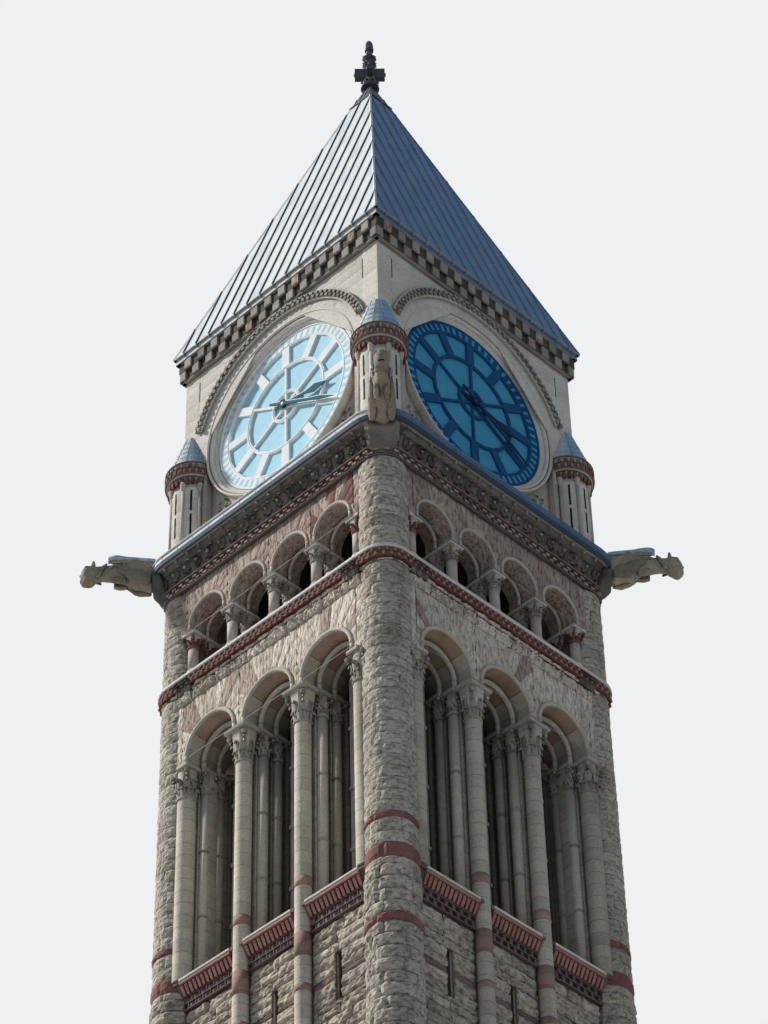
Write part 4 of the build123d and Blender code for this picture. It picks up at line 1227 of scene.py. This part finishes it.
def spandrel_leaves():
    """Carved leaves in the corners under the dials."""
    mesh = Mesh()
    for turn in SIDES.values():
        outward = (*side_point(turn, 0, 1), 0)
        along = side_point(turn, 1, 0)
        for way in (-1, 1):
            for row in range(5):
                for k in range(4):
                    x = way * (225 + 28 * k)
                    level = LEDGE_TOP + 4 + 34 * row
                    if hypot(x, level + 20 - DIAL_HEIGHT) < RECESS_RADIUS + 14 or abs(x) > 340:
                        continue
                    tilt = dice.uniform(-0.5, 0.5)
                    up = (along[0] * sin(tilt), along[1] * sin(tilt), cos(tilt))
                    root = (*side_point(turn, x, CLOCK_FACE - 27), level)
                    leaf(mesh, root, up, outward, 34, 24, 12, 4)
    piece("spandrel_leaves", mesh, (capital_stone,))


def dials():
    """Minute openings in the rims, and thin raised rings on the dial frames."""
    mesh = Mesh()
    for turn in SIDES.values():
        place = on_side(turn, 0.0)
        for k in range(60):
            angle = 2 * pi * (k + 0.5) / 60
            points = []
            for out in (443.0, 444.8):
                for a, r in ((-5.5, 286), (5.5, 286), (6.5, 312), (-6.5, 312)):
                    x = r * sin(angle) + a * cos(angle)
                    z = r * cos(angle) - a * sin(angle)
                    points.append(place(x, DIAL_HEIGHT + z, out))
            bar(mesh, points, 1)
        for radius, thickness in ((DIAL_RADIUS - 4, 4.0), (281.0, 2.0), (184.0, 2.0), (61.0, 2.0)):
            roll(mesh, place, 0, DIAL_HEIGHT, radius, 444.0, thickness, 0, 2 * pi, 90, 6)
    piece("dial_details", mesh, (dial_metal, dial_pane))


# Each hand: length, width, its leaf's width, tail, turn from twelve, and its back's distance from the axis
HANDS = {
    "hour_hand": (210.0, 16.0, 36.0, 45.0, 100.0, 449.0),
    "minute_hand": (285.0, 13.0, 15.0, 70.0, 120.0, 457.0),
}


def hand_edges(side, turn):
    """Ribs on the upper edges of the hands, each riding on its hand: pale on the front as a painted highlight, dark on
    the other sides.
    """
    for name, (length, width, leaf_width, tail, turned, back) in HANDS.items():
        mesh = Mesh()
        place = on_side(turn, 0.0)
        aside, ahead = cos(radians(turned)), sin(radians(turned))
        edge = (
            (-tail, width / 3), (0, width / 2), (length / 2, width / 3),
            (0.7 * length, leaf_width / 2), (length, 0.0),
        )
        points = []
        for out in (back + 0.3, back + 3.0):
            for lift in (-0.4, 2.6):
                for r, half in edge:
                    a = -half - lift
                    points.append(place(r * ahead + a * aside, DIAL_HEIGHT + r * aside - a * ahead, out))
        count = len(edge)
        faces = []
        for k in range(count - 1):
            near = (k, k + count, k + 3 * count, k + 2 * count)
            faces += [(near[i], near[(i + 1) % 4], near[(i + 1) % 4] + 1, near[i] + 1) for i in range(4)]
        faces += [(0, count, 3 * count, 2 * count), (count - 1, 3 * count - 1, 4 * count - 1, 2 * count - 1)]
        mesh.add(points, faces)
        node = f"{name}_{side}"
        piece(f"{node}_edge", mesh, (hand_edge_highlight,), body=node)


# Eaves, roof and finial

FASCIA_FACE = 500.0
ROOF_FOOT_LEVEL = ROOF_BOTTOM + 28.0
ROOF_FOOT = 507.0
ROOF_PEAK_HALF = 54.0
SEAM_SPACING = 65.0
CAP_TOP = ROOF_TOP + 121.0


def eaves_billets(side, turn):
    """Two rows of blocks and gaps set by turns, a few of them in red stone."""
    mesh = Mesh()
    place = on_side(turn, 0.0)
    rows = ((EAVES_BOTTOM + 1, EAVES_BOTTOM + 43, 0.0, 482.0), (EAVES_BOTTOM + 45, EAVES_TOP - 1, 0.5, 489.0))
    for bottom, top, shift, face in rows:
        for k in range(-8, 9):
            u = (k + shift) * 68.0
            start, end = max(u - 17, -face - 6), min(u + 17, face + 6)
            if end - start < 12:
                continue
            kind = 1 if dice.random() < 0.08 else 0
            box(mesh, place, (start, end), (bottom, top), (face - 10, face + 10), 1.5, kind)
    box(mesh, place, (-484, 484), (EAVES_BOTTOM - 6, EAVES_BOTTOM + 1), (470, 485), 1.5)
    piece(f"eaves_billets_{side}", mesh, (billet_stone, pink_stone))


SEAM_FACES = [(0, 2, 6, 4), (2, 3, 7, 6), (3, 1, 5, 7), (0, 1, 3, 2), (4, 6, 7, 5)]


def seam(mesh, turn, u, foot, head, half=2.6, lift=5.0):
    """A standing seam up a sloping face, between two points given as (reach, level)."""
    run, rise = foot[0] - head[0], head[1] - foot[1]
    slope = hypot(run, rise)
    points = []
    for reach, level in (foot, head):
        for wide, up in ((half, -1.0), (half * 0.7, lift)):
            for way in (-1, 1):
                x, y = side_point(turn, u + way * wide, reach + up * rise / slope)
                points.append((x, y, level + up * run / slope))
    mesh.add(points, SEAM_FACES)


def roof_seams():
    """Standing seams up each face, ending at the hips, with hip caps and the eaves' drip."""
    mesh = Mesh()
    hips = Mesh()
    fascia = Mesh()
    run, rise = ROOF_FOOT - ROOF_PEAK_HALF, ROOF_TOP - ROOF_FOOT_LEVEL
    for turn in SIDES.values():
        for k in range(-7, 8):
            u = k * SEAM_SPACING
            height = (ROOF_FOOT - max(abs(u), ROOF_PEAK_HALF)) / run
            head = (ROOF_FOOT - run * height, ROOF_FOOT_LEVEL + rise * height)
            seam(mesh, turn, u, (ROOF_FOOT, ROOF_FOOT_LEVEL), head)
        for u in (-36.0, -12.0, 12.0, 36.0):
            height = (ROOF_PEAK_HALF - max(abs(u), 14)) / (ROOF_PEAK_HALF - 14)
            foot = (ROOF_PEAK_HALF, ROOF_TOP + 8)
            head = (ROOF_PEAK_HALF - 40 * height, ROOF_TOP + 8 + 113 * height)
            seam(mesh, turn, u, foot, head, 1.6, 2.5)
        points = []
        for t in (0.0, 1.0):
            reach, level = ROOF_FOOT - run * t, ROOF_FOOT_LEVEL + rise * t
            for across, lift in ((-10, 0.5), (-5, 6.0), (5, 6.0), (10, 0.5)):
                out = reach + lift * 0.6
                edge = side_point(turn, out - max(0, -across) * 0.9, out - max(0, across) * 0.9)
                points.append((*edge, level + lift * 0.25))
        hips.add(points, [(0, 1, 5, 4), (1, 2, 6, 5), (2, 3, 7, 6), (0, 3, 2, 1), (4, 5, 6, 7), (3, 0, 4, 7)])
        place = on_side(turn, 0.0)
        edge, foot = ROOF_FOOT, ROOF_FOOT_LEVEL
        box(fascia, place, (-edge, edge), (foot - 5, foot + 2), (495, edge + 1), 1.0)
        height = (ROOF_BOTTOM - 1, ROOF_BOTTOM + 3)
        box(fascia, place, (-FASCIA_FACE, FASCIA_FACE), height, (480, FASCIA_FACE + 2), 1.0)
        for k in range(-7, 8):
            u = k * SEAM_SPACING
            box(fascia, place, (u - 3.5, u + 3.5), (foot - 12, foot + 3), (498, edge + 3.5), 1.0)
    piece("roof_seams", mesh, (seam_metal,))
    piece("roof_hips", hips, (ledge_metal,))
    piece("roof_fascia", fascia, (fascia_metal,))


def finial_details():
    """Curled leaves on the finial's bell, arms and collars, with beads between them."""
    mesh = Mesh()
    for rise, radius, count, length, width, curl in (
        (2, 24, 8, 46, 20, 14), (138, 13, 8, 24, 13, 17), (180, 13, 8, 22, 13, 16), (232, 10, 6, 16, 10, 8),
        (60, 16, 8, 30, 12, 10),
    ):
        for k in range(count):
            angle = 2 * pi * (k + 0.5) / count
            direction = heading(angle)
            root = beyond((0, 0), direction, radius, CAP_TOP + rise)
            leaf(mesh, root, (0, 0, 1), direction, length, width, curl, 3)
    for k in range(4):
        angle = pi / 4 + k * pi / 2
        direction = heading(angle)
        across = (-sin(angle), cos(angle), 0)
        for rise, ahead in ((1, 40), (-1, 40), (1, 24), (-1, 24)):
            root = beyond((0, 0), direction, ahead, CAP_TOP + 89)
            up = beyond((0, 0), direction, 0.5, rise)
            leaf(mesh, root, up, across, 26, 14, 9, 3)
            leaf(mesh, root, up, (-across[0], -across[1], 0), 26, 14, 9, 3)
        ball(mesh, beyond((0, 0), direction, 54, CAP_TOP + 89), 9, (1, 1, 1.5), 6, 10)
    ball(mesh, (0, 0, FINIAL_TOP - 24), 15.5, (1, 1, 1.45), 8, 14)
    for level, radius in ((CAP_TOP + 120, 17), (CAP_TOP + 236, 17), (CAP_TOP + 4, 36)):
        lathe(mesh, (0, 0), moulding(radius, level, (-5, -5), (0, -2), (0, 2), (-5, 5)), 20)
    piece("finial_leaves", mesh, (dark_iron,))


# Turrets

TURRET_RADIUS = 74.0
TURRET_RING_RADIUS = 92.0
TURRET_RING = 7905.0
CONE_FOOT, CONE_HEAD = 88.0, 30.1


def turret_details(number, corner_x, corner_y):
    """Narrow barred slits, made as dark plates of painted shade, between slim shafts, a corbelled ring, and the cone's
    lead rings and seams.
    """
    centre = (corner_x * SHAFT_AXIS, corner_y * SHAFT_AXIS)
    middle = atan2(corner_y, corner_x)
    place = on_shaft(*centre, TURRET_RADIUS)
    dark = Mesh()
    shafts = Mesh()
    stones = Mesh()
    step = pi / 4
    # Each slit is a dark plate on the turret's face: painted shade in place of an opening.
    for k in range(-2, 3):
        angle = middle + k * step
        half = 3.6 / TURRET_RADIUS
        for bottom, top in ((TURRET_RING - 245, TURRET_RING - 150), (TURRET_RING - 135, TURRET_RING - 40)):
            box(dark, place, (angle - half, angle + half), (bottom, top), (-6, 0.9), 0.2, unit=TURRET_RADIUS)
    for k in range(-3, 3):
        angle = middle + (k + 0.5) * step
        foot = beyond(centre, heading(angle), TURRET_RADIUS - 1)
        for profile in (
            ((7, -330), (7, -30)),
            ((11, -342), (11, -332), (7, -322)),
            ((7, -44), (9, -36), (12, -16), (13, -8)),
        ):
            lathe(shafts, foot, moulding(0, TURRET_RING, *profile), 12)
    for bottom in range(7620, 7880, 52):
        shift = dice.uniform(0, 0.4)
        height = (bottom, min(bottom + 52, TURRET_RING - 9))
        for k in range(5):
            start = middle - 2.1 + (k + shift) * 0.8
            stretch = (start, min(start + 0.8, middle + 2.2))
            block(stones, place, stretch, height, 0.8, 0.1, (10, 2), joint=(0.3 / TURRET_RADIUS, 0.3))
    piece(f"turret_slits_{number}", dark, (slit_shadow,))
    piece(f"turret_shafts_{number}", shafts, (buff_stone,), smooth=True)
    piece(f"turret_stones_{number}", stones, (pale_stone,), tidy=False)
    ring = Mesh()
    upper = on_shaft(*centre, TURRET_RING_RADIUS)
    for k in range(26):
        angle = 2 * pi * k / 26
        for here, radius, start, end, foot, head, out, chamfer, kind in (
            (place, TURRET_RADIUS, -0.07, 0.07, -12, 14, (-2, 11), 1.5, 0),
            (upper, TURRET_RING_RADIUS, -0.075, 0.075, 30, 48, (-4, 4), 1.2, 0),
            (upper, TURRET_RING_RADIUS, 0.05, 0.19, 52, 66, (-4, 4.5), 1.2, 1),
        ):
            height = (TURRET_RING + foot, TURRET_RING + head)
            box(ring, here, (angle + start, angle + end), height, out, chamfer, kind, radius)
    for rise, radius in ((17, 84.0), (27, 93.0), (50, 93.0), (76, 94.0)):
        profile = moulding(radius, TURRET_RING + rise, (-10, -3), (1, -3), (2.4, 0), (1, 3), (-10, 3))
        lathe(ring, centre, profile, 36, 1)
    piece(f"turret_ring_{number}", ring, (red_stone, sill_stone))
    lead = Mesh()
    low, high = levels("turret_roofs")
    for t in (0.03, 0.22, 0.41, 0.6, 0.79):
        level = low + (high - low) * t
        radius = CONE_FOOT + (CONE_HEAD - CONE_FOOT) * t
        lathe(lead, centre, moulding(radius, level, (-6, -3), (1.5, -3), (2.2, 0), (-0.5, 3), (-6, 3)), 32)
    for k in range(12):
        angle = middle + 2 * pi * (k + 0.5) / 12
        points = []
        for t in (0.0, 1.0):
            level = low + (high - low) * t
            radius = CONE_FOOT + (CONE_HEAD - CONE_FOOT) * t
            for half, lift in ((1.6, -1.0), (1.0, 1.8)):
                for way in (-1, 1):
                    a = angle + way * half / radius
                    points.append(beyond(centre, heading(a), radius + lift, level + lift * 0.3))
        lead.add(points, SEAM_FACES)
    piece(f"turret_lead_{number}", lead, (turret_lead,))


# Gargoyles: each row is a distance along its corner's diagonal, a level, half a width and half a height

GARGOYLE_BODY = (
    (722, 7540, 34, 44), (745, 7536, 37, 52), (768, 7534, 38, 56),
    (795, 7543, 39, 56), (824, 7546, 37, 52), (850, 7549, 33, 45), (876, 7552, 27, 38), (900, 7553, 20, 33),
    (925, 7553, 17, 30), (944, 7551, 18, 32), (956, 7547, 22, 40), (970, 7543, 24, 44), (984, 7539, 21, 41),
    (994, 7536, 14, 29), (999, 7534, 7, 13),
)
GARGOYLE_CORBEL = (
    (690, 7408, 30, 20), (712, 7446, 46, 42), (728, 7474, 54, 44), (746, 7487, 56, 33), (757, 7493, 48, 25)
)

GARGOYLE_JAW = ((978, 7520, 20, 4), (990, 7519, 15, 4), (999, 7518, 8, 3))
GARGOYLE_HAUNCH = (
    (764, 7500, 10, 16), (784, 7506, 14, 26), (806, 7510, 15, 28),
    (828, 7521, 14, 24), (852, 7537, 11, 18), (874, 7552, 8, 12),
)
GARGOYLE_PAW = ((846, 7516, 9, 18), (868, 7511, 9, 15), (888, 7512, 7, 9))
GARGOYLE_WING = (
    (750, 7583, 12, 8), (790, 7587, 13, 9), (840, 7592, 13, 10), (884, 7599, 12, 12), (907, 7592, 8, 14),
)

# Rows of feathers: where the first starts along the diagonal, its level and its length
GARGOYLE_FEATHERS = ((898, 7582, 92), (892, 7570, 92), (880, 7556, 80), (866, 7544, 60))


def on_diagonal(corner_x, corner_y):
    """Places at a corner: u along its diagonal from the tower's axis, v up, out across it."""

    def place(u, v, out):
        return ((corner_x * u - corner_y * out) / sqrt(2), (corner_y * u + corner_x * out) / sqrt(2), v)

    return place


def smoothed(t, o, p, q, r):
    """A value between p and q on a smooth curve that also passes through o and r."""
    return 0.5 * (2 * p + (q - o) * t + (2 * o - 5 * p + 4 * q - r) * t * t + (3 * p - o - 3 * q + r) * t ** 3)


def body(mesh, place, rows, sides=14, relief=0.0, steps=4, middle=0.0, kind=0):
    """A rounded form through sections, smoothed between them, with carved relief."""
    salt = Vector((dice.uniform(0, 99), dice.uniform(0, 99), dice.uniform(0, 99)))
    stations = []
    for k in range(len(rows) - 1):
        before, a, b, after = rows[max(0, k - 1)], rows[k], rows[k + 1], rows[min(len(rows) - 1, k + 2)]
        for step in range(steps):
            t = step / steps
            stations.append([smoothed(t, *values) for values in zip(before, a, b, after)])
    stations.append(list(rows[-1]))
    points = []
    for along, level, half, high in stations:
        for side in range(sides):
            angle = 2 * pi * side / sides
            bump = 1 + relief * noise.noise(salt + Vector((along / 14, 3 * cos(angle), 3 * sin(angle))))
            across = abs(cos(angle)) ** 0.8 * copysign(half, cos(angle)) * bump
            up = abs(sin(angle)) ** 0.8 * copysign(high, sin(angle)) * bump
            points.append(place(along, level + up, middle + across))
    faces = grid_faces(len(stations), sides, closed=True)
    faces += [tuple(reversed(range(sides))), tuple(range(len(points) - sides, len(points)))]
    mesh.add(points, faces, kind)


def gargoyles():
    """Winged beasts that crouch on the cornice's corners, with ears, brows, jaws, haunches and paws."""
    mesh = Mesh()
    for corner_x, corner_y in CORNERS:
        place = on_diagonal(corner_x, corner_y)
        ahead = Vector(place(1, 0, 0))
        body(mesh, place, GARGOYLE_BODY, 18, 0.12, 5)
        body(mesh, place, GARGOYLE_CORBEL, 16, 0.2, 4, 0.0, 3)
        # The jaw is in the near-black slit paint: painted shade of the open mouth.
        body(mesh, place, GARGOYLE_JAW, 8, 0.0, 2, 0.0, 1)
        ball(mesh, place(997, 7545, 0), 6, (1, 1, 0.8), 5, 8)
        for way in (-1, 1):
            across = Vector(place(0, 0, way))
            body(mesh, place, GARGOYLE_HAUNCH, 12, 0.15, 3, way * 30)
            body(mesh, place, GARGOYLE_PAW, 10, 0.1, 3, way * 16)
            body(mesh, place, GARGOYLE_WING, 10, 0.1, 3, way * 24, 2)
            for tier, (start, level, length) in enumerate(GARGOYLE_FEATHERS):
                for k in range(2):
                    root = Vector(place(start - 34 * k, level - 2 * k, way * (30 + 2.5 * k - 1.5 * tier)))
                    leaf(mesh, root, -ahead + Vector((0, 0, 0.1 - 0.16 * tier)), across, length, 20, 5, 4, 2)
            leaf(mesh, place(957, 7580, way * 12), (0, 0, 1), across, 30, 15, 5, 4, 1)
            ball(mesh, place(984, 7560, way * 15), 5.5, (1, 1, 1), 6, 9)
            ball(mesh, place(978, 7571, way * 15), 7.0, (1.2, 1.2, 0.6), 5, 8)
            for k in range(5):
                root = place(948 - 5 * k, 7528 + 12 * k, way * (18 - k))
                leaf(mesh, root, -ahead + Vector((0, 0, 0.2)) + across * 0.3, across, 28, 13, 7, 3, 2)
    paints = (gargoyle_stone, slit_shadow, turret_lead, carved_stone)
    piece("gargoyle_bodies", mesh, paints, stands_for=("gargoyles",))


# Everything is laid out side by side and corner by corner

for side, turn in SIDES.items():
    lower_wall(side, turn)
    belfry_carving(side, turn)
    belfry_rolls(side, turn)
    belfry_stones(side, turn)
    belfry_frames(side, turn)
    arcade_carving(side, turn)
    arcade_stones(side, turn)
    clock_stones(side, turn)
    dial_surround(side, turn)
    eaves_billets(side, turn)
    hand_edges(side, turn)
for number, (corner_x, corner_y) in enumerate(CORNERS, start=1):
    corner_shaft(number, corner_x, corner_y)
    turret_details(number, corner_x, corner_y)
string_carving()
sill_carving()
cornice_carving()
ledge_seams()
spandrel_leaves()
dials()
roof_seams()
finial_details()
gargoyles()


# Materials of the frame's own parts

LOOKS = {
    "corner_shafts": mortar, "belfry_columns": smooth_stone, "sill_course": sill_stone,
    # The floors take a dark stone: painted shade of the interior.
    "belfry_floor": shaded_floor_stone, "belfry_piers": smooth_stone, "string_course": red_stone, "gallery_floor": shaded_floor_stone,
    "arcade_colonnettes_outer": buff_stone, "arcade_colonnettes_inner": buff_stone,
    "main_cornice": carved_stone, "clock_room_floor": shaded_floor_stone, "cornice_ledge": ledge_metal,
    "turrets": pale_mortar, "turret_roofs": turret_lead, "dial_hoods": pale_stone, "dial_frames": dial_metal,
    "dial_glass": dial_pane, "eaves_cornice": eaves_shadow, "roof": roof_metal, "finial": dark_iron,
    "gargoyles": capital_stone,
}
for side in SIDES:
    LOOKS[f"lower_wall_{side}"] = mortar
    LOOKS[f"belfry_arches_{side}"] = smooth_stone
    LOOKS[f"arcade_wall_{side}"] = pink_stone
    LOOKS[f"clock_wall_{side}"] = pale_mortar
    LOOKS[f"hour_hand_{side}"] = hand_paint
    LOOKS[f"minute_hand_{side}"] = hand_paint
for name, material in LOOKS.items():
    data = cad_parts[name].data
    data.materials.clear()
    data.materials.append(material)


# Daylight from the left, a pale ground, and the camera of the photograph

sky = bpy.data.worlds.new("daylight")
bpy.context.scene.world = sky
sky.use_nodes = True
sky.node_tree.nodes.clear()
air = Nodes(sky.node_tree)
seen, through, mirrored = (
    air.add("LightPath", output=f"Is {ray} Ray") for ray in ("Camera", "Transmission", "Glossy")
)
seen = air.add("Math", seen, through, operation="MAXIMUM")
pale = air.add("Math", seen, mirrored, operation="MAXIMUM")
dim = air.add("Background", (0.55, 0.78, 1.0, 1), 0.24)
bright = air.add("Background", (0.86, 0.87, 0.88, 1), 1.0)
sky_output = air.nodes.new("ShaderNodeOutputWorld")
air.links.new(air.add("MixShader", pale, dim, bright), sky_output.inputs["Surface"])


def sunlight(name, direction, strength, softness, colour):
    """A sun lamp that shines from one direction."""
    lamp = bpy.data.lights.new(name, "SUN")
    lamp.energy = strength
    lamp.angle = radians(softness)
    lamp.color = colour
    made = link(name, lamp)
    made.rotation_euler = Vector(direction).to_track_quat("Z", "Y").to_euler()


sunlight("key_sun", (-0.66, -0.41, 0.63), 5.0, 5, (1.0, 0.965, 0.91))
sunlight("fill_sun", (0.7, -0.3, 0.35), 0.12, 30, (0.8, 0.9, 1.0))

GROUND_REACH = 60.0
ground_mesh = bpy.data.meshes.new("ground")
corners = [(x * GROUND_REACH, y * GROUND_REACH, 0) for x, y in CORNERS]
ground_mesh.from_pydata(corners, [], [(0, 1, 2, 3)])
ground = link("ground", ground_mesh)
ground_paint = Paint("ground", 0.5, 0.9)
ground_paint.shader.inputs["Base Color"].default_value = (0.4, 0.4, 0.4, 1)
ground_mesh.materials.append(ground_paint.material)

# The photograph's camera, as fitted to it: its eye is in metres and its focal length in the photo's pixels
AZIMUTH, ELEVATION, ROLL = radians(44.091), radians(-43.667), radians(-1.478)
EYE = (5.592, -5.7555, 0.160)
FOCAL_PIXELS, PHOTO_HEIGHT, SENSOR_WIDTH = 3288.016, 1024.0, 36.0
backward = Vector((sin(AZIMUTH) * cos(ELEVATION), -cos(AZIMUTH) * cos(ELEVATION), sin(ELEVATION)))
level_right = Vector(heading(AZIMUTH))
level_up = backward.cross(level_right)
right_axis = level_right * cos(ROLL) + level_up * sin(ROLL)
up_axis = level_up * cos(ROLL) - level_right * sin(ROLL)
lens = bpy.data.cameras.new("camera")
lens.sensor_width = SENSOR_WIDTH
lens.lens = FOCAL_PIXELS * SENSOR_WIDTH / PHOTO_HEIGHT
lens.clip_end = 200.0
camera = link("camera", lens)
camera.matrix_world = Matrix((*zip(right_axis, up_axis, backward, EYE), (0, 0, 0, 1)))
bpy.context.scene.camera = camera
bpy.context.scene.view_settings.view_transform = "Standard"

bpy.context.view_layer.update()
